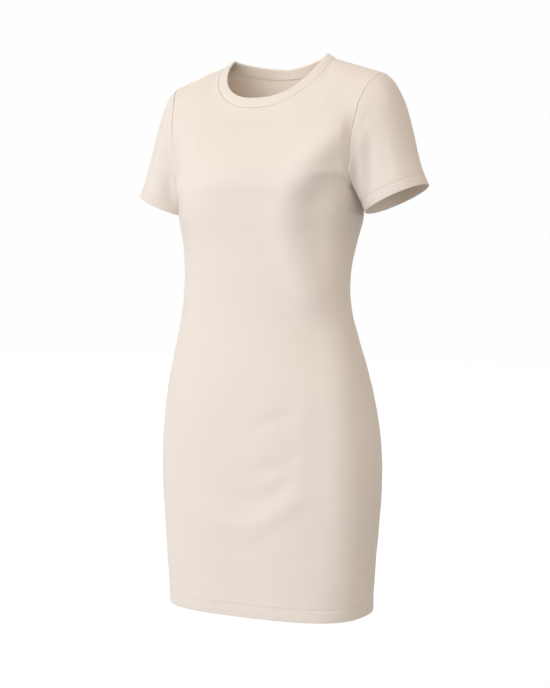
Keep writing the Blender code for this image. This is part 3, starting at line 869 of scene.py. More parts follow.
def in_scene(name: str, data: bpy.types.ID) -> bpy.types.Object:
    """Puts a new object in the scene.

    Args:
        name: The object's name.
        data: Its mesh, light or camera.

    Returns:
        The object.
    """
    made = bpy.data.objects.new(name, data)
    bpy.context.scene.collection.objects.link(made)
    return made


def cloth_piece(
    name: str, points: Points, faces: list, maps: Points, raised: Points, hidden: Points
) -> bpy.types.Object:
    """Builds a closed piece of cloth with its faces turned outwards.

    Args:
        name: The piece's name.
        points: Its points.
        faces: Its faces, by the points' numbers.
        maps: Each point's place on the cloth, for the finish.
        raised: How raised each point is, which sets the painted highlight on its crowns.
        hidden: One where a point lies inside the garment, where it gets the painted glow.

    Returns:
        The piece.
    """
    mesh = bpy.data.meshes.new(name)
    mesh.from_pydata(points.reshape(-1, 3).tolist(), [], faces)
    layer = mesh.uv_layers.new(name="cloth")
    corners = np.empty(len(mesh.loops), np.int32)
    mesh.loops.foreach_get("vertex_index", corners)
    layer.data.foreach_set("uv", maps.reshape(-1, 2)[corners].astype(np.float32).ravel())
    # The inside attribute is the painted glow of the hidden faces, standing in for light through the
    # cloth.
    for label, values in (("raised", raised), ("inside", hidden * PaintedInsideGlow().at(points))):
        layer = mesh.attributes.new(label, "FLOAT", "POINT")
        layer.data.foreach_set("value", values.ravel().astype(np.float32))
    mesh.update()
    mesh.calc_loop_triangles()
    triangles = np.empty(len(mesh.loop_triangles) * 3, np.int32)
    mesh.loop_triangles.foreach_get("vertices", triangles)
    if np.linalg.det(points.reshape(-1, 3)[triangles.reshape(-1, 3)]).sum() < 0:
        mesh.flip_normals()
    mesh.shade_smooth()
    mesh.set_sharp_from_angle(angle=math.radians(SHARP_DEGREES))
    return in_scene(name, mesh)


def ladder(marks: Sequence[float], end: float, step: float) -> Points:
    """Heights that start with the given marks and go on to an end in about equal steps."""
    count = max(1, round((end - marks[-1]) / step))
    return np.concatenate([marks, np.linspace(marks[-1], end, count + 1)[1:]])


@dataclass(frozen=True)
class Hem:
    """A turned-up hem, sewn with two rows of stitches that press a groove into the cloth."""

    fold_rise: float
    stitches: tuple[float, float]
    layer_top: float
    groove: float = 0.00065
    groove_half_width: float = 0.0008
    swell: float = 0.00045
    swell_fade: float = 0.003
    first_marks: int = 5
    margin: float = 0.0026
    fine_step: float = 0.0007

    def marks(self) -> list[float]:
        """Heights over the hem's edge where rows of points stand, close together at the stitches.

        Returns:
            The heights, rising.
        """
        low, high = self.stitches
        first = np.linspace(self.fold_rise, low - self.margin, self.first_marks)
        fine = [low + gap * self.fine_step for gap in (-2, -1, 0, 1)]
        fine += [high + gap * self.fine_step for gap in (-1, 0, 1, 2)]
        return [*first, *fine, self.layer_top]

    def relief(self, height: Points) -> Points:
        """How far the cloth stands out.

        Args:
            height: Heights over the hem's edge.

        Returns:
            Distances in metres.
        """
        out = self.swell * (1 - smoothstep((height - self.stitches[1]) / self.swell_fade))
        for stitch in self.stitches:
            out = out - self.groove * np.exp(-(((height - stitch) / self.groove_half_width) ** 2))
        return out


@dataclass
class BodyPanels:
    """Front and back of the dress, made together because they meet at the side and shoulder seams."""

    cut: DressCut
    edge: SeamEdge
    hem: Hem = Hem(0.0011, (0.0190, 0.0215), 0.0240)
    parts: int = 4
    row_step: float = 0.0042
    fold_fade: float = 0.020
    allowance_taper: float = 0.030
    shoulder_taper: float = 3.0
    hang: Hang = Hang(0.00022, 0.035, 0.16)

    def grids(self) -> dict[Face, Points]:
        """The panels' plain forms: the skirt's rows, then the chest's.

        Returns:
            The grid of each panel.
        """
        chests = ChestCloth(self.cut).solve()
        half_columns = (self.cut.shoulder_columns + self.cut.neck_columns) * self.parts
        across = np.linspace(0.0, 1.0, half_columns + 1)
        heights = ladder(self.hem.marks(), UNDERARM_LEVEL - HEM_LEVEL, self.row_step)
        grids = {}
        for face, coarse in chests.items():
            skirt = [self.cut.body_arc(HEM_LEVEL + height, face, across) for height in heights]
            skirt = self.cut.mirrored(np.array(skirt))
            chest = finer(coarse, self.parts).swapaxes(0, 1)
            chest = finer(padded(chest), self.parts).swapaxes(0, 1)
            t = np.linspace(0.0, self.cut.chest_rows, len(chest))[:, None, None]
            top = self.cut.mirrored(self.cut.top_edge(face, self.parts)[None])[0]
            chest += (skirt[-1] - chest[0]) * smoothstep(1 - t)
            chest += (top - chest[-1]) * smoothstep(1 - (self.cut.chest_rows - t))
            side = self.cut.armhole_half(face, t[:, 0, 0] / self.cut.chest_rows)
            chest[:, 0] = side
            chest[:, -1] = side * MIRROR
            grids[face] = np.concatenate([skirt, chest[1:]])
        self.underarm = len(skirt) - 1
        return grids

    def normals(self, face: Face, panel: Points, other: Points) -> Points:
        """Outward directions, the same on both sides of each side and shoulder seam.

        Args:
            face: Front or back.
            panel: The panel's grid.
            other: The other panel's grid.

        Returns:
            A direction for each point.
        """
        rows, columns = panel.shape[:2]
        shoulder = self.cut.shoulder_columns * self.parts
        wide = np.empty((rows + 2, columns + 2, 3))
        wide[1:-1, 1:-1] = panel
        wide[1:-1, 0] = 2 * panel[:, 0] - panel[:, 1]
        wide[1:-1, -1] = 2 * panel[:, -1] - panel[:, -2]
        wide[1 : self.underarm + 2, 0] = other[: self.underarm + 1, 1]
        wide[1 : self.underarm + 2, -1] = other[: self.underarm + 1, -2]
        wide[0] = 2 * wide[1] - wide[2]
        wide[-1] = 2 * wide[-2] - wide[-3]
        seam = np.r_[1 : shoulder + 2, columns - shoulder : columns + 1]
        wide[-1, seam] = other[-2, seam - 1]
        middle = wide[1:-1, 1:-1]
        across = unit(wide[1:-1, 2:] - middle) + unit(middle - wide[1:-1, :-2])
        up = unit(wide[2:, 1:-1] - middle) + unit(middle - wide[:-2, 1:-1])
        return unit(np.cross(up, across)) * -face.value

    def folded(self, face: Face, panel: Points, normals: Points) -> tuple[Points, Points]:
        """The panel with its folds, the hang of its cloth and the relief of its hem.

        Args:
            face: Front or back.
            panel: The plain form.
            normals: Its outward directions.

        Returns:
            The folded panel, and the height of its folds.
        """
        reach = reach_along(panel, 1)
        girth = reach[:, -1:] / 2 - reach
        places = np.stack([girth, panel[..., 2]], axis=-1)
        fade = smoothstep(np.minimum(reach, reach[:, -1:] - reach) / self.fold_fade)
        height = fold_height(places, PANEL_FOLDS[face], np.ones(2))
        height += drift(places, face, self.hang)
        height *= fade
        sewn = self.hem.relief(panel[..., 2] - HEM_LEVEL)
        return panel + normals * (height + sewn)[..., None], height

    def allowances(self, panel: Points) -> tuple[Points, Points]:
        """Lengths of the seam allowances down the sides and along the top.

        Args:
            panel: The panel's form.

        Returns:
            One length a row, and one a column.
        """
        full = self.edge.allowance
        run = reach_along(panel[:, :1], 0)[:, 0]
        from_ends = np.minimum(run - run[len(self.hem.marks())], run[-1] - run)
        from_underarm = np.abs(run - run[self.underarm])
        side = full * smoothstep(np.minimum(from_ends, from_underarm) / self.allowance_taper)
        columns = panel.shape[1]
        shoulder = self.cut.shoulder_columns * self.parts
        place = np.minimum(np.arange(columns), columns - 1 - np.arange(columns)) / shoulder
        top = full * smoothstep(np.minimum(place, 1 - place) * self.shoulder_taper)
        return side, top

    def make(self) -> dict[Face, bpy.types.Object]:
        """Builds both panels and keeps the folded grids for the sleeves and the stitches.

        Returns:
            The pieces.
        """
        plain = self.grids()
        faces = {Face.FRONT: Face.BACK, Face.BACK: Face.FRONT}
        folds = {}
        self.grid = {}
        for face, other in faces.items():
            normals = self.normals(face, plain[face], plain[other])
            self.grid[face], folds[face] = self.folded(face, plain[face], normals)
        self.outward = {
            face: self.normals(face, self.grid[face], self.grid[other]) for face, other in faces.items()
        }
        pieces = {}
        for face, grid in self.grid.items():
            side, top = self.allowances(grid)
            sheet = Sheet(
                name=f"{face.name.lower()}_panel_cloth",
                grid=grid,
                inward=-self.outward[face],
                side_allowance=side,
                top_allowance=top,
                hem_rows=len(self.hem.marks()),
                edge=self.edge,
            )
            pieces[face] = sheet.make(np.clip(folds[face] / FULL_SHINE_HEIGHT, -1.0, 1.0))
        return pieces

    def armhole(self) -> tuple[Points, Points, Points]:
        """The left armhole, from the underarm up the back and down the front to the underarm again.

        Returns:
            Its points, their outward directions and the directions into the panels.
        """
        rows = slice(self.underarm, None)
        back, front = self.grid[Face.BACK][rows], self.grid[Face.FRONT][rows]
        points = np.concatenate([back[:, 0], front[-2::-1, 0]])
        inner = np.concatenate([back[:, 1], front[-2::-1, 1]])
        out_back, out_front = self.outward[Face.BACK][rows, 0], self.outward[Face.FRONT][rows, 0]
        outward = np.concatenate([out_back, out_front[-2::-1]])
        shared = unit(outward[0] + outward[-1])
        outward[0] = outward[-1] = shared
        tangent = unit(np.gradient(points, axis=0))
        into = inner - points
        into -= (into * tangent).sum(axis=1, keepdims=True) * tangent
        into[0] = into[-1] = unit(into[0]) + unit(into[-1])
        return points, outward, unit(into)


@dataclass
class Sleeve:
    """A short set-in sleeve: an open sheet from the armhole to the cuff, closed by its underarm seam."""

    side: Side
    edge: SeamEdge
    hem: Hem = Hem(0.0011, (0.0156, 0.0180), 0.0206)
    cuff_centre: tuple[float, float, float] = (0.2075, -0.0079, -0.2378)
    half_across: float = 0.0535
    half_deep: float = 0.0577
    tilt: float = 0.421
    lean: float = -0.051
    solid_gap: float = 0.0003
    girth: float = 0.40
    length: float = 0.15
    rings: int = 46
    line_steps: int = 240
    hang: Hang = Hang(0.00020, 0.03, 0.12)
    end_fade: float = 0.012
    lift_power: int = 8
    padding_ease: float = 8.0
    allowance_ease: float = 12.0
    fold_fade: float = 0.020
    allowance_lift: float = 0.00030
    allowance_width: float = 0.0025
    allowance_fade: float = 0.0045

    def cuff(self, turns: Points) -> tuple[Points, Points]:
        """The cuff's edge.

        Args:
            turns: Fractions of a turn.

        Returns:
            A point for each turn, and the sleeve's direction there.
        """
        out, down = math.sin(self.tilt), math.cos(self.tilt)
        lean = math.cos(self.lean)
        axis = np.array((out * lean, -math.sin(self.lean), -down * lean))
        across = np.array((down, 0.0, out))
        deep = np.cross(axis, across)
        deep *= -np.sign(deep[1])
        angle = 2 * math.pi * turns[:, None]
        ring = self.half_across * np.cos(angle) * across + self.half_deep * np.sin(angle) * deep
        return np.array(self.cuff_centre) + ring, axis

    def form(self, armhole: tuple[Points, Points, Points]) -> tuple[Points, Points]:
        """The sleeve's plain form on the wearer's left.

        Args:
            armhole: The armhole's points, outward directions and directions into the panels.

        Returns:
            Rows of points from the cuff to the armhole, and the turn of each column.
        """
        points, outward, into = armhole
        turns = np.linspace(-0.5, 0.5, len(points))
        lift = 1 - (2 * np.abs(turns[:, None])) ** self.lift_power
        start = points + (-into * self.solid_gap + outward * self.solid_gap / 2) * lift
        end, axis = self.cuff(turns)
        leave = smooth_table([row.turn for row in SLEEVE_LEAVES], SLEEVE_LEAVES, turns % 1.0)
        direction = unit(leave[:, 1:4])
        t = np.linspace(0.0, 1.0, self.line_steps)[:, None, None]
        lines = hermite(t, start, direction * leave[:, 4:5], end, axis * leave[:, 5:6])
        marks = np.array(self.hem.marks())
        columns = []
        for line in lines.swapaxes(0, 1):
            length = np.linalg.norm(np.diff(line, axis=0), axis=1).sum()
            heights = np.concatenate([marks, np.linspace(marks[-1], length, self.rings + 1)[1:]])
            columns.append(along(line, 1 - heights / length))
        return np.stack(columns, axis=1), turns

    @staticmethod
    def normals(grid: Points) -> Points:
        """Outward directions of the form, which is closed at its underarm seam.

        Args:
            grid: The sleeve's points.

        Returns:
            A direction for each point.
        """
        wide = np.concatenate([grid[:, -2:-1], grid, grid[:, 1:2]], axis=1)
        across = unit(wide[:, 2:] - grid) + unit(grid - wide[:, :-2])
        up = np.gradient(grid, axis=0)
        normals = unit(np.cross(across, up))
        from_middle = grid - grid.mean(axis=1, keepdims=True)
        return normals * np.sign((normals * from_middle).sum())

    def folded(self, grid: Points, turns: Points) -> tuple[Points, Points]:
        """The sleeve with its folds, the hang of its cloth and the relief of its cuff.

        Args:
            grid: The plain form.
            turns: The turn of each column.

        Returns:
            The folded sleeve, and the height of its folds.
        """
        from_cuff = reach_along(grid, 0)
        length = from_cuff[-1]
        from_armhole = length - from_cuff
        down = from_armhole / length * self.length
        around = np.broadcast_to(turns % 1.0 * self.girth, down.shape)
        places = np.stack([around, down], axis=-1)
        scale = np.array((self.girth, self.length))
        height = fold_height(places, SLEEVE_FOLDS[self.side], scale)
        drawn = np.stack([turns * self.girth + np.zeros_like(down), from_cuff], axis=-1)
        height += drift(drawn, self.side, self.hang)
        height *= smoothstep(from_armhole / self.fold_fade)
        sewn = self.hem.relief(from_cuff + self.hem.fold_rise)
        padding = 1 - smoothstep((from_armhole - self.allowance_width) / self.allowance_fade)
        padding = padding * smoothstep((0.5 - np.abs(turns)) * self.padding_ease)
        sewn = sewn + self.allowance_lift * padding
        return grid + self.normals(grid) * (height + sewn)[..., None], height

    def make(self, armhole: tuple[Points, Points, Points]) -> bpy.types.Object:
        """Builds the sleeve and keeps its grid for the stitches.

        Args:
            armhole: The armhole's points, outward directions and directions into the panels.

        Returns:
            The piece.
        """
        plain, turns = self.form(armhole)
        grid, height = self.folded(plain, turns)
        inward = -self.normals(grid)
        inward[-1] = -armhole[1]
        mirror = np.array((self.side.value, 1.0, 1.0))
        self.grid, self.outward = grid * mirror, -inward * mirror
        run = reach_along(grid[:, :1], 0)[:, 0]
        ends = np.minimum(run - run[len(self.hem.marks())], run[-1] - run)
        side = self.edge.allowance * smoothstep(ends / self.end_fade)
        top = self.edge.allowance * smoothstep((0.5 - np.abs(turns)) * self.allowance_ease)
        sheet = Sheet(
            name=f"sleeve_{self.side.name.lower()}_cloth",
            grid=self.grid,
            inward=-self.outward,
            side_allowance=side,
            top_allowance=top,
            hem_rows=len(self.hem.marks()),
            edge=self.edge,
        )
        return sheet.make(np.clip(height / FULL_SHINE_HEIGHT, -1.0, 1.0))


@dataclass
class Neckband:
    """The folded band round the neckline, joined at the centre back."""

    cut: DressCut
    half_columns: int = 60
    thickness: float = 0.0026
    seam_gap: float = 0.00020
    roll: float = 0.0006
    belly: float = 0.0005
    overlap: float = 0.0015
    join_gap: float = 0.00025
    lip_low: float = 0.0009
    lip_high: float = 0.0010
    belly_parts: tuple[float, ...] = (0.2, 0.4, 0.6, 0.8)
    lining_parts: tuple[float, ...] = (0.75, 0.5, 0.25)
    bend_lines: int = 4
    roll_lines: int = 9
    inner_roll_lines: int = 3
    # Share of the painted highlight on the band's roll.
    roll_shine: float = 0.8

    def loop(self, ovals: dict[Face, HalfOval]) -> Points:
        """One line of the band, from the centre back by the wearer's left round to the back again.

        Args:
            ovals: The line's half-oval at front and back.

        Returns:
            The line's points.
        """
        fractions = np.linspace(0.0, 1.0, self.half_columns + 1)
        front = self.cut.half_oval(ovals[Face.FRONT], Face.FRONT, fractions)
        back = self.cut.half_oval(ovals[Face.BACK], Face.BACK, fractions)
        half = np.concatenate([back[::-1], front[1:]])
        return np.concatenate([half, half[-2::-1] * MIRROR])

    def make(self) -> bpy.types.Object:
        """Builds the band as one closed outline carried round the neckline.

        Returns:
            The piece.
        """
        seam, top = self.loop(NECK_SEAMS), self.loop(NECK_EDGES)
        rise = top - seam
        width = np.linalg.norm(rise, axis=1)[:, None]
        up = rise / width
        tangent = unit(np.gradient(seam + top, axis=0))
        tangent[0] = tangent[-1] = (1.0, 0.0, 0.0)
        out = unit(np.cross(tangent, up))
        out *= np.sign((out * (seam - seam.mean(axis=0))).sum())
        half = self.thickness / 2
        # Each place of the section: its height over the seam, part of the width and distance out.
        section = []
        for angle in np.linspace(math.pi / 2, 0.0, self.bend_lines):
            high = self.seam_gap + self.roll * (1 - math.sin(angle))
            section.append((high, 0.0, -self.roll * (1 - math.cos(angle))))
        for part in self.belly_parts:
            section.append((0.0, part, self.belly * math.sin(math.pi * part)))
        for angle in np.linspace(0.0, math.pi, self.roll_lines):
            section.append((-half + half * math.sin(angle), 1.0, -half + half * math.cos(angle)))
        section += [(0.0, part, -self.thickness) for part in self.lining_parts]
        section.append((-self.overlap, 0.0, -self.thickness))
        section.append((-self.overlap, 0.0, -self.thickness + self.lip_low))
        section.append((self.seam_gap, 0.0, -self.thickness + self.lip_high))
        lines = np.stack([seam + up * (high + width * part) + out * off for high, part, off in section])
        lines[:, 0] += tangent[0] * self.join_gap / 2
        lines[:, -1] -= tangent[0] * self.join_gap / 2
        return self.tube(lines)

    def tube(self, lines: Points) -> bpy.types.Object:
        """A closed tube, capped at the join.

        Args:
            lines: The lines that the section's points draw round the neckline.

        Returns:
            The piece.
        """
        strings, columns = lines.shape[:2]
        index = np.arange(strings * columns).reshape(strings, columns)
        after = np.roll(index, -1, axis=0)
        quads = np.stack([index[:, :-1], index[:, 1:], after[:, 1:], after[:, :-1]], axis=-1)
        caps = [index[::-1, 0].tolist(), index[:, -1].tolist()]
        run = reach_along(lines[self.bend_lines : self.bend_lines + 1], 1)[0]
        around = reach_along(lines, 0)[:, columns // 2]
        maps = np.stack(np.broadcast_arrays(run[None, :], around[:, None]), axis=-1)
        roll = self.bend_lines + len(self.belly_parts)
        after_roll = roll + self.roll_lines
        crown, hidden = np.zeros((2, strings, columns))
        # The band's roll gets the painted highlight.
        crown[roll:after_roll] = self.roll_shine
        hidden[after_roll - self.inner_roll_lines :] = 1.0
        faces = quads.reshape(-1, 4).tolist() + caps
        return cloth_piece("neckband_cloth", lines, faces, maps, crown, hidden)


Socket = bpy.types.NodeSocket


@dataclass
class NodeBench:
    """Adds and joins the nodes of one tree."""

    tree: bpy.types.NodeTree

    def node(self, kind: str, fed: dict | None = None, **settings: object) -> bpy.types.Node:
        """A new node.

        Args:
            kind: The node's type.
            fed: What its inputs are fed with, by name or number.
            settings: Its own settings.

        Returns:
            The node.
        """
        made = self.tree.nodes.new(kind)
        for name, value in settings.items():
            setattr(made, name, value)
        self.feed_all(fed or {}, made.inputs)
        return made

    def feed_all(self, fed: dict, inputs: bpy.types.NodeInputs) -> None:
        """Feeds several inputs of a node, by name or number."""
        for name, value in fed.items():
            self.feed(value, inputs[name])

    def feed(self, value: object, socket: Socket) -> None:
        """Joins a socket to another, or sets it to a plain value.

        Args:
            value: The other socket, or the value.
            socket: The socket.
        """
        if isinstance(value, bpy.types.NodeSocket):
            self.tree.links.new(value, socket)
        else:
            socket.default_value = value

    def math(self, operation: str, *values: object) -> Socket:
        """A Math node's result."""
        return self.node("ShaderNodeMath", dict(enumerate(values)), operation=operation).outputs[0]

    def vector(self, operation: str, *values: object) -> Socket:
        """A Vector Math node's vector."""
        return self.node("ShaderNodeVectorMath", dict(enumerate(values)), operation=operation).outputs[0]

    def mix(self, share: object, first: object, second: object) -> Socket:
        """A blend of two colours."""
        return self.node("ShaderNodeMix", {0: share, 6: first, 7: second}, data_type="RGBA").outputs[2]

    def flat_noise(self, place: Socket, stretch: tuple, detail: float) -> Socket:
        """A flat noise over a place, with waves as short as the stretch says."""
        fed = {"Vector": self.vector("MULTIPLY", place, stretch), "Scale": 1.0, "Detail": detail}
        return self.node("ShaderNodeTexNoise", fed, noise_dimensions="2D").outputs[0]

    def group(self, tree: bpy.types.NodeTree, **values: object) -> bpy.types.Node:
        """A node group placed in the tree, with its inputs fed by name."""
        return self.node("ShaderNodeGroup", values, node_tree=tree)


def new_group(name: str, inputs: dict[str, object], outputs: dict[str, str]) -> tuple:
    """Starts a shader node group.

    Args:
        name: The group's name.
        inputs: Each input's name, with a number for a value or None for a vector.
        outputs: Each output's name and socket type.

    Returns:
        The bench, the group's input node and its output node.
    """
    tree = bpy.data.node_groups.new(name, "ShaderNodeTree")
    for label, start in inputs.items():
        kind = "NodeSocketVector" if start is None else "NodeSocketFloat"
        socket = tree.interface.new_socket(label, in_out="INPUT", socket_type=kind)
        if start is not None:
            socket.default_value = start
    for label, kind in outputs.items():
        tree.interface.new_socket(label, in_out="OUTPUT", socket_type=kind)
    bench = NodeBench(tree)
    return bench, bench.node("NodeGroupInput"), bench.node("NodeGroupOutput")


def new_material(name: str) -> tuple[bpy.types.Material, NodeBench, bpy.types.NodeInputs]:
    """Starts a material.

    Args:
        name: The material's name.

    Returns:
        The material, its bench and the inputs of its Principled shader.
    """
    material = bpy.data.materials.new(name)
    material.use_nodes = True
    shader = material.node_tree.nodes["Principled BSDF"]
    return material, NodeBench(material.node_tree), shader.inputs


@dataclass
class KnitEffects:
    """The node groups that the cloth's materials share."""

    wale_share: float = 0.65
    course_share: float = 0.35
    yarn_stretch: tuple[float, float, float] = (520.0, 900.0, 0.0)
    yarn_detail: float = 3.0
    slub_stretch: tuple[float, float, float] = (110.0, 850.0, 0.0)
    slub_detail: float = 4.0
    wale_stretch: tuple[float, float, float] = (750.0, 90.0, 0.0)
    wale_detail: float = 2.0
    wale_tone: float = 0.7
    patch_stretch: tuple[float, float, float] = (14.0, 14.0, 0.0)
    patch_detail: float = 3.0
    mean_noise: float = 0.5

    def __post_init__(self) -> None:
        """Builds both groups once."""
        self.relief = self.build_relief()
        self.heather = self.build_heather()

    def build_relief(self) -> bpy.types.NodeTree:
        """Height of the knit's wales and courses, with a fine unevenness of the yarn.

        Returns:
            The group.
        """
        sizes = {"Cloth": None, "Wale": 0.0010, "Course": 0.0008, "Slant": 0.35, "Uneven": 0.4}
        bench, given, result = new_group("knit_relief", sizes, {"Height": "NodeSocketFloat"})
        split = bench.node("ShaderNodeSeparateXYZ", {0: given.outputs["Cloth"]})
        across = bench.math("DIVIDE", split.outputs[0], given.outputs["Wale"])
        up = bench.math("DIVIDE", split.outputs[1], given.outputs["Course"])
        lean = bench.math("PINGPONG", across, 0.5)
        slanted = bench.math("ADD", up, bench.math("MULTIPLY", lean, given.outputs["Slant"]))
        wale = bench.math("ABSOLUTE", bench.math("SINE", bench.math("MULTIPLY", across, math.pi)))
        course = bench.math("ABSOLUTE", bench.math("SINE", bench.math("MULTIPLY", slanted, math.pi)))
        wale = bench.math("MULTIPLY", wale, self.wale_share)
        loops = bench.math("ADD", wale, bench.math("MULTIPLY", course, self.course_share))
        yarn = bench.flat_noise(given.outputs["Cloth"], self.yarn_stretch, self.yarn_detail)
        uneven = bench.math("MULTIPLY", yarn, given.outputs["Uneven"])
        bench.feed(bench.math("ADD", loops, uneven), result.inputs["Height"])
        return bench.tree

    def build_heather(self) -> bpy.types.NodeTree:
        """Tone of the yarn: faint slubs along the courses, faint wales and broad dye patches.

        Returns:
            The group.
        """
        sizes = {"Cloth": None, "Slub": 0.5, "Patch": 0.35}
        bench, given, result = new_group("heather", sizes, {"Tone": "NodeSocketFloat"})
        cloth = given.outputs["Cloth"]
        slub = bench.flat_noise(cloth, self.slub_stretch, self.slub_detail)
        wales = bench.flat_noise(cloth, self.wale_stretch, self.wale_detail)
        patch = bench.flat_noise(cloth, self.patch_stretch, self.patch_detail)
        threads = bench.math("ADD", slub, bench.math("MULTIPLY", wales, self.wale_tone))
        mean = self.mean_noise * (1 + self.wale_tone)
        threads = bench.math("MULTIPLY", bench.math("SUBTRACT", threads, mean), given.outputs["Slub"])
        broad = bench.math("SUBTRACT", patch, self.mean_noise)
        broad = bench.math("MULTIPLY", broad, given.outputs["Patch"])
        tone = bench.math("ADD", bench.math("ADD", threads, broad), self.mean_noise)
        bench.feed(bench.math("MINIMUM", bench.math("MAXIMUM", tone, 0.0), 1.0), result.inputs["Tone"])
        return bench.tree


@dataclass(frozen=True)
class KnitFinish:
    """Smooth double knit of cream viscose: matt, with a soft short nap."""

    name: str
    deep: tuple[float, float, float] = (0.730, 0.653, 0.587)
    pale: tuple[float, float, float] = (0.780, 0.708, 0.648)
    # Painted highlight: the lighter colour of fold crowns and of the neckband's roll.
    crown_shine: tuple[float, float, float] = (0.795, 0.728, 0.672)
    roughness: float = 0.86
    crown_roughness: float = 0.78
    sheen: float = 0.22
    sheen_roughness: float = 0.45
    wale: float = 0.00105
    course: float = 0.00085
    relief: float = 0.35
    relief_depth: float = 0.00022
    # Painted light: the colour of the glow on the cloth's inside faces.
    inside_glow: tuple[float, float, float] = (0.205, 0.160, 0.115)

    # How much of the painted highlight a fully raised crown gets.
    crown_shine_share: float = 0.45
    specular: float = 0.25

    def material(self, effects: KnitEffects) -> bpy.types.Material:
        """The finish as a material.

        Args:
            effects: The shared node groups.

        Returns:
            The material.
        """
        material, bench, inputs = new_material(self.name)
        cloth = bench.node("ShaderNodeUVMap", uv_map="cloth").outputs["UV"]
        raised = bench.node("ShaderNodeAttribute", attribute_name="raised").outputs["Fac"]
        inside = bench.node("ShaderNodeAttribute", attribute_name="inside").outputs["Fac"]
        tone = bench.group(effects.heather, Cloth=cloth).outputs["Tone"]
        yarn = bench.mix(tone, (*self.deep, 1.0), (*self.pale, 1.0))
        # Raised crowns get a painted highlight colour and a lower roughness.
        ridge = bench.math("MULTIPLY", bench.math("MAXIMUM", raised, 0.0), self.crown_shine_share)
        crown_shine = bench.math("MULTIPLY", ridge, self.crown_roughness - self.roughness)
        height = bench.group(effects.relief, Cloth=cloth, Wale=self.wale, Course=self.course)
        fed = {"Strength": self.relief, "Distance": self.relief_depth, "Height": height.outputs["Height"]}
        bump = bench.node("ShaderNodeBump", fed)
        fed = {
            "Base Color": bench.mix(ridge, yarn, (*self.crown_shine, 1.0)),
            "Roughness": bench.math("ADD", crown_shine, self.roughness),
            "Normal": bump.outputs["Normal"],
            # Painted light: the inside faces glow.
            "Emission Color": bench.mix(inside, (0.0, 0.0, 0.0, 1.0), (*self.inside_glow, 1.0)),
            "Emission Strength": 1.0,
            "Sheen Weight": self.sheen,
            "Sheen Roughness": self.sheen_roughness,
            "Specular IOR Level": self.specular,
        }
        bench.feed_all(fed, inputs)
        return material


@dataclass(frozen=True)
class ThreadFinish:
    """Spun polyester sewing thread, dyed to the cloth."""

    name: str = "sewing_thread"
    colour: tuple[float, float, float] = (0.66, 0.58, 0.50)
    twist: float = 2200.0
    dark_share: float = 0.86
    roughness: float = 0.5
    roughness_spread: float = 0.15

    def material(self) -> bpy.types.Material:
        """The finish as a material.

        Returns:
            The material.
        """
        material, bench, inputs = new_material(self.name)
        place = bench.node("ShaderNodeTexCoord").outputs["Object"]
        plies = bench.node("ShaderNodeTexNoise", {"Vector": place, "Scale": self.twist}).outputs[0]
        dark = tuple(self.dark_share * part for part in self.colour)
        rough = bench.math("MULTIPLY", plies, self.roughness_spread)
        bench.feed(bench.mix(plies, (*dark, 1.0), (*self.colour, 1.0)), inputs["Base Color"])
        bench.feed(bench.math("ADD", rough, self.roughness), inputs["Roughness"])
        return material


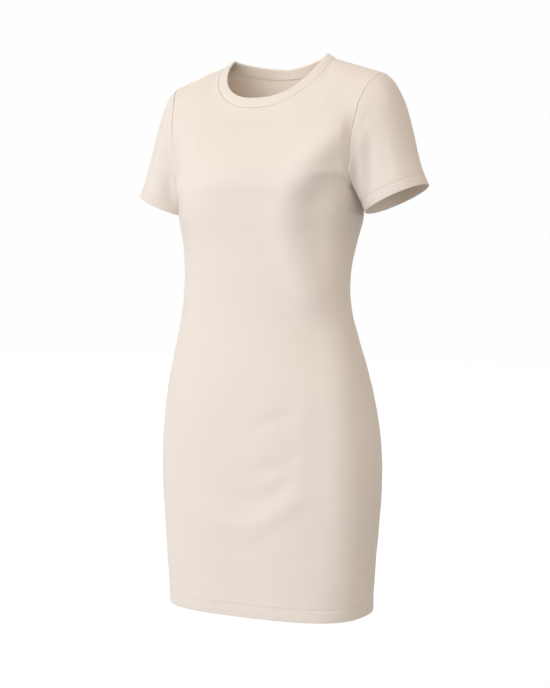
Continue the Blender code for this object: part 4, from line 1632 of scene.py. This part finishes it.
@dataclass
class Sewing:
    """Rows of stitches laid along lines on the cloth by a Geometry Nodes tree."""

    thread: bpy.types.Material
    pitch: float = 0.0030
    length: float = 0.0023
    thickness: float = 0.00042
    seed: int = 5
    bead_segments: int = 8
    bead_rings: int = 5
    least_size: float = 0.9
    most_size: float = 1.08
    lift: float = 0.25

    def __post_init__(self) -> None:
        """Builds the tree once."""
        self.tree = self.build_tree()

    def build_tree(self) -> bpy.types.NodeTree:
        """The tree that sets one stitch at each pitch of the lines it is given.

        Returns:
            The tree.
        """
        tree = bpy.data.node_groups.new("stitch_rows", "GeometryNodeTree")
        bench = NodeBench(tree)
        kinds = {"Geometry": "Geometry", "Pitch": "Float", "Length": "Float", "Thickness": "Float"}
        kinds |= {"Seed": "Int", "Thread": "Material"}
        for name, kind in kinds.items():
            tree.interface.new_socket(name, in_out="INPUT", socket_type="NodeSocket" + kind)
        tree.interface.new_socket("Geometry", in_out="OUTPUT", socket_type="NodeSocketGeometry")
        given, result = bench.node("NodeGroupInput").outputs, bench.node("NodeGroupOutput")
        line = bench.node("GeometryNodeMeshToCurve", {"Mesh": given["Geometry"]})
        spaced = {"Curve": line.outputs["Curve"], "Length": given["Pitch"]}
        places = bench.node("GeometryNodeResampleCurve", spaced, mode="LENGTH")
        ball = {"Segments": self.bead_segments, "Rings": self.bead_rings, "Radius": 0.5}
        bead = bench.node("GeometryNodeMeshUVSphere", ball)
        sizes = {"X": given["Thickness"], "Y": given["Thickness"], "Z": given["Length"]}
        size = bench.node("ShaderNodeCombineXYZ", sizes)
        spread = {2: self.least_size, 3: self.most_size, "Seed": given["Seed"]}
        uneven = bench.node("FunctionNodeRandomValue", spread, data_type="FLOAT")
        scaled = {0: size.outputs["Vector"], "Scale": uneven.outputs[1]}
        scale = bench.node("ShaderNodeVectorMath", scaled, operation="SCALE")
        tangent = bench.node("GeometryNodeInputTangent")
        turn = bench.node("FunctionNodeAlignRotationToVector", {"Vector": tangent.outputs[0]}, axis="Z")
        laid = {
            "Points": places.outputs["Curve"],
            "Instance": bead.outputs["Mesh"],
            "Rotation": turn.outputs["Rotation"],
            "Scale": scale.outputs["Vector"],
        }
        stitches = bench.node("GeometryNodeInstanceOnPoints", laid)
        real = bench.node("GeometryNodeRealizeInstances", {"Geometry": stitches.outputs["Instances"]})
        smooth = bench.node("GeometryNodeSetShadeSmooth", {"Geometry": real.outputs["Geometry"]})
        dye = {"Geometry": smooth.outputs["Geometry"], "Material": given["Thread"]}
        dyed = bench.node("GeometryNodeSetMaterial", dye)
        bench.feed(dyed.outputs["Geometry"], result.inputs["Geometry"])
        return tree

    def sew(self, name: str, lines: Sequence[Points]) -> bpy.types.Object:
        """Lays stitches along lines.

        Args:
            name: Name of the piece.
            lines: The lines' points.

        Returns:
            All the stitches as one plain mesh.
        """
        points = np.concatenate(lines)
        edges = []
        start = 0
        for line in lines:
            edges += [(start + i, start + i + 1) for i in range(len(line) - 1)]
            start += len(line)
        mesh = bpy.data.meshes.new(name + "_lines")
        mesh.from_pydata(points.tolist(), edges, [])
        rows = in_scene(mesh.name, mesh)
        modifier = rows.modifiers.new("stitches", "NODES")
        modifier.node_group = self.tree
        sizes = {name.title(): getattr(self, name) for name in ("pitch", "length", "thickness")}
        sizes |= {"Seed": self.seed, "Thread": self.thread}
        for item in self.tree.interface.items_tree:
            if item.in_out == "INPUT" and item.name in sizes:
                modifier[item.identifier] = sizes[item.name]
        graph = bpy.context.evaluated_depsgraph_get()
        stitched = bpy.data.meshes.new_from_object(rows.evaluated_get(graph))
        stitched.name = name
        bpy.data.objects.remove(rows)
        return in_scene(name, stitched)

    def hem_lines(self, grid: Points, outward: Points, hem: Hem) -> list[Points]:
        """The two rows of a hem on one piece, half sunk in the cloth.

        Args:
            grid: The piece's points.
            outward: Their outward directions.
            hem: The hem.

        Returns:
            The rows' points.
        """
        marks = np.array(hem.marks())
        lines = []
        for stitch in hem.stitches:
            row = int(np.argmin(np.abs(marks - stitch)))
            lines.append(grid[row, 1:-1] + outward[row, 1:-1] * self.thickness * self.lift)
        return lines


@dataclass(frozen=True)
class Lamp:
    """A broad soft light: the way round it shines from, how high, its strength and its tint."""

    name: str
    azimuth: float
    height: float
    power: float
    tint: tuple[float, float, float] = (1.0, 1.0, 1.0)
    spread: float = 50.0

    def put(self) -> None:
        """Sets the lamp up."""
        light = bpy.data.lights.new(self.name, "SUN")
        light.energy = self.power
        light.angle = math.radians(self.spread)
        light.color = self.tint
        lamp = in_scene(self.name, light)
        round_, up = math.radians(self.azimuth), math.radians(self.height)
        level = math.cos(up)
        towards = Vector((math.sin(round_) * level, -math.cos(round_) * level, math.sin(up)))
        lamp.rotation_euler = towards.to_track_quat("Z", "Y").to_euler()


@dataclass(frozen=True)
class Studio:
    """A pale floor, soft light and the camera at the photograph's angle."""

    lamps: tuple[Lamp, ...] = (
        Lamp("key", -30.0, 15.0, 1.84, (0.93, 0.97, 1.02)),
        Lamp("front", 0.0, 8.0, 1.13, (0.96, 0.975, 1.0)),
        Lamp("low", 10.0, -20.0, 0.32, (0.96, 0.975, 1.0)),
        Lamp("left", -100.0, 15.0, 0.40),
        Lamp("right", 100.0, 25.0, 0.90, (1.0, 0.94, 0.87)),
        Lamp("back", -148.0, 18.0, 1.30, (0.96, 0.975, 1.0)),
    )
    room_light: float = 0.43
    room_tint: tuple[float, float, float] = (1.0, 0.87, 0.70)
    backdrop: float = 0.99
    azimuth: float = math.radians(27.0)
    sensor_width: float = 36.0
    focal_pixels: float = 1380.0
    frame_height: int = 688
    horizon: float = 284.5
    distance: float = 2.24
    side_step: float = 0.0075
    depth_centre: float = -0.04
    eye_level: float = -0.3715
    floor_level: float = -1.40
    floor_glow: float = 0.64
    floor_size: float = 30.0
    floor_colour: tuple[float, float, float] = (0.375, 0.395, 0.435)
    floor_roughness: float = 0.9

    def camera(self) -> None:
        """Puts up the camera."""
        across = Vector((math.cos(self.azimuth), math.sin(self.azimuth), 0.0))
        ahead = Vector((-math.sin(self.azimuth), math.cos(self.azimuth), 0.0))
        data = bpy.data.cameras.new("camera")
        data.sensor_width = self.sensor_width
        data.lens = self.focal_pixels * data.sensor_width / self.frame_height
        camera = in_scene("camera", data)
        camera.location = Vector((0.0, self.depth_centre, self.eye_level))
        camera.location += across * self.side_step - ahead * self.distance
        pitch = math.atan((self.frame_height / 2 - self.horizon) / self.focal_pixels)
        looking = ahead * math.cos(pitch) - Vector((0.0, 0.0, math.sin(pitch)))
        camera.rotation_euler = looking.to_track_quat("-Z", "Y").to_euler()
        bpy.context.scene.camera = camera

    def floor(self) -> None:
        """Lays the floor."""
        half = self.floor_size / 2
        corners = [(-half, -half), (half, -half), (half, half), (-half, half)]
        mesh = bpy.data.meshes.new("floor")
        mesh.from_pydata([(x, y, self.floor_level) for x, y in corners], [], [(0, 1, 2, 3)])
        paint, bench, inputs = new_material("pale_floor")
        seen = bench.node("ShaderNodeLightPath").outputs["Is Camera Ray"]
        fed = {
            "Base Color": (*self.floor_colour, 1.0),
            "Roughness": self.floor_roughness,
            "Emission Color": (1.0, 1.0, 1.0, 1.0),
            "Emission Strength": bench.math("MULTIPLY", seen, self.floor_glow),
        }
        bench.feed_all(fed, inputs)
        mesh.materials.append(paint)
        in_scene("floor", mesh)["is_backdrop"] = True

    def light(self) -> None:
        """Switches on the lamps and the pale surroundings."""
        for lamp in self.lamps:
            lamp.put()
        world = bpy.data.worlds.new("white_room")
        bpy.context.scene.world = world
        world.use_nodes = True
        bench = NodeBench(world.node_tree)
        room = world.node_tree.nodes["Background"]
        seen = bench.node("ShaderNodeLightPath").outputs["Is Camera Ray"]
        tint = tuple(part * self.room_light for part in self.room_tint)
        bench.feed(bench.mix(seen, (*tint, 1.0), (*(self.backdrop,) * 3, 1.0)), room.inputs["Color"])
        room.inputs["Strength"].default_value = 1.0
        bpy.context.scene.view_settings.view_transform = "Standard"

    def make(self) -> None:
        """Sets the whole studio up."""
        for step in (self.camera, self.floor, self.light):
            step()


@dataclass(frozen=True)
class CutSize:
    """The flat cut of a piece: width and length of its rectangle and its own area."""

    width: float
    length: float
    area: float


def fit(piece: bpy.types.Object, node: str, finish: bpy.types.Material) -> None:
    """Gives a cloth piece its finish and its place in the frame.

    Args:
        piece: The piece.
        node: The solid that it stands for.
        finish: Its material.
    """
    piece.data.materials.append(finish)
    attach(piece, "root")
    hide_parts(node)
    LOG.info("%s: %d faces", piece.name, len(piece.data.polygons))


def main() -> None:
    """Builds the dress and the studio, and writes down how big both models are."""
    logging.basicConfig(level=logging.INFO, format="%(name)s: %(message)s")
    cut = DressCut()
    edge = SeamEdge()
    effects = KnitEffects()
    knit = KnitFinish("double_knit").material(effects)
    band_knit = KnitFinish("neckband_knit", relief=0.3).material(effects)
    sewing = Sewing(ThreadFinish().material())
    panels = BodyPanels(cut, edge)
    for face, piece in panels.make().items():
        fit(piece, f"{face.name.lower()}_panel", knit)
    armhole = panels.armhole()
    sewn = {"hem_stitches": []}
    for face in Face:
        sewn["hem_stitches"] += sewing.hem_lines(panels.grid[face], panels.outward[face], panels.hem)
    for side in Side:
        sleeve = Sleeve(side, edge)
        fit(sleeve.make(armhole), f"sleeve_{side.name.lower()}", knit)
        name = f"cuff_{side.name.lower()}_stitches"
        sewn[name] = sewing.hem_lines(sleeve.grid, sleeve.outward, sleeve.hem)
    fit(Neckband(cut).make(), "neckband", band_knit)
    for name, lines in sewn.items():
        stitches = sewing.sew(name, lines)
        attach(stitches, "root")
        LOG.info("%s: %d faces", stitches.name, len(stitches.data.polygons))
    Studio().make()
    sizes = {"cad": CAD_BOX, "visual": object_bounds()}
    plain = {name: [list(corner) for corner in box] for name, box in sizes.items()}
    LOG.info("sizes: %s", plain)


if __name__ == "__main__":
    main()
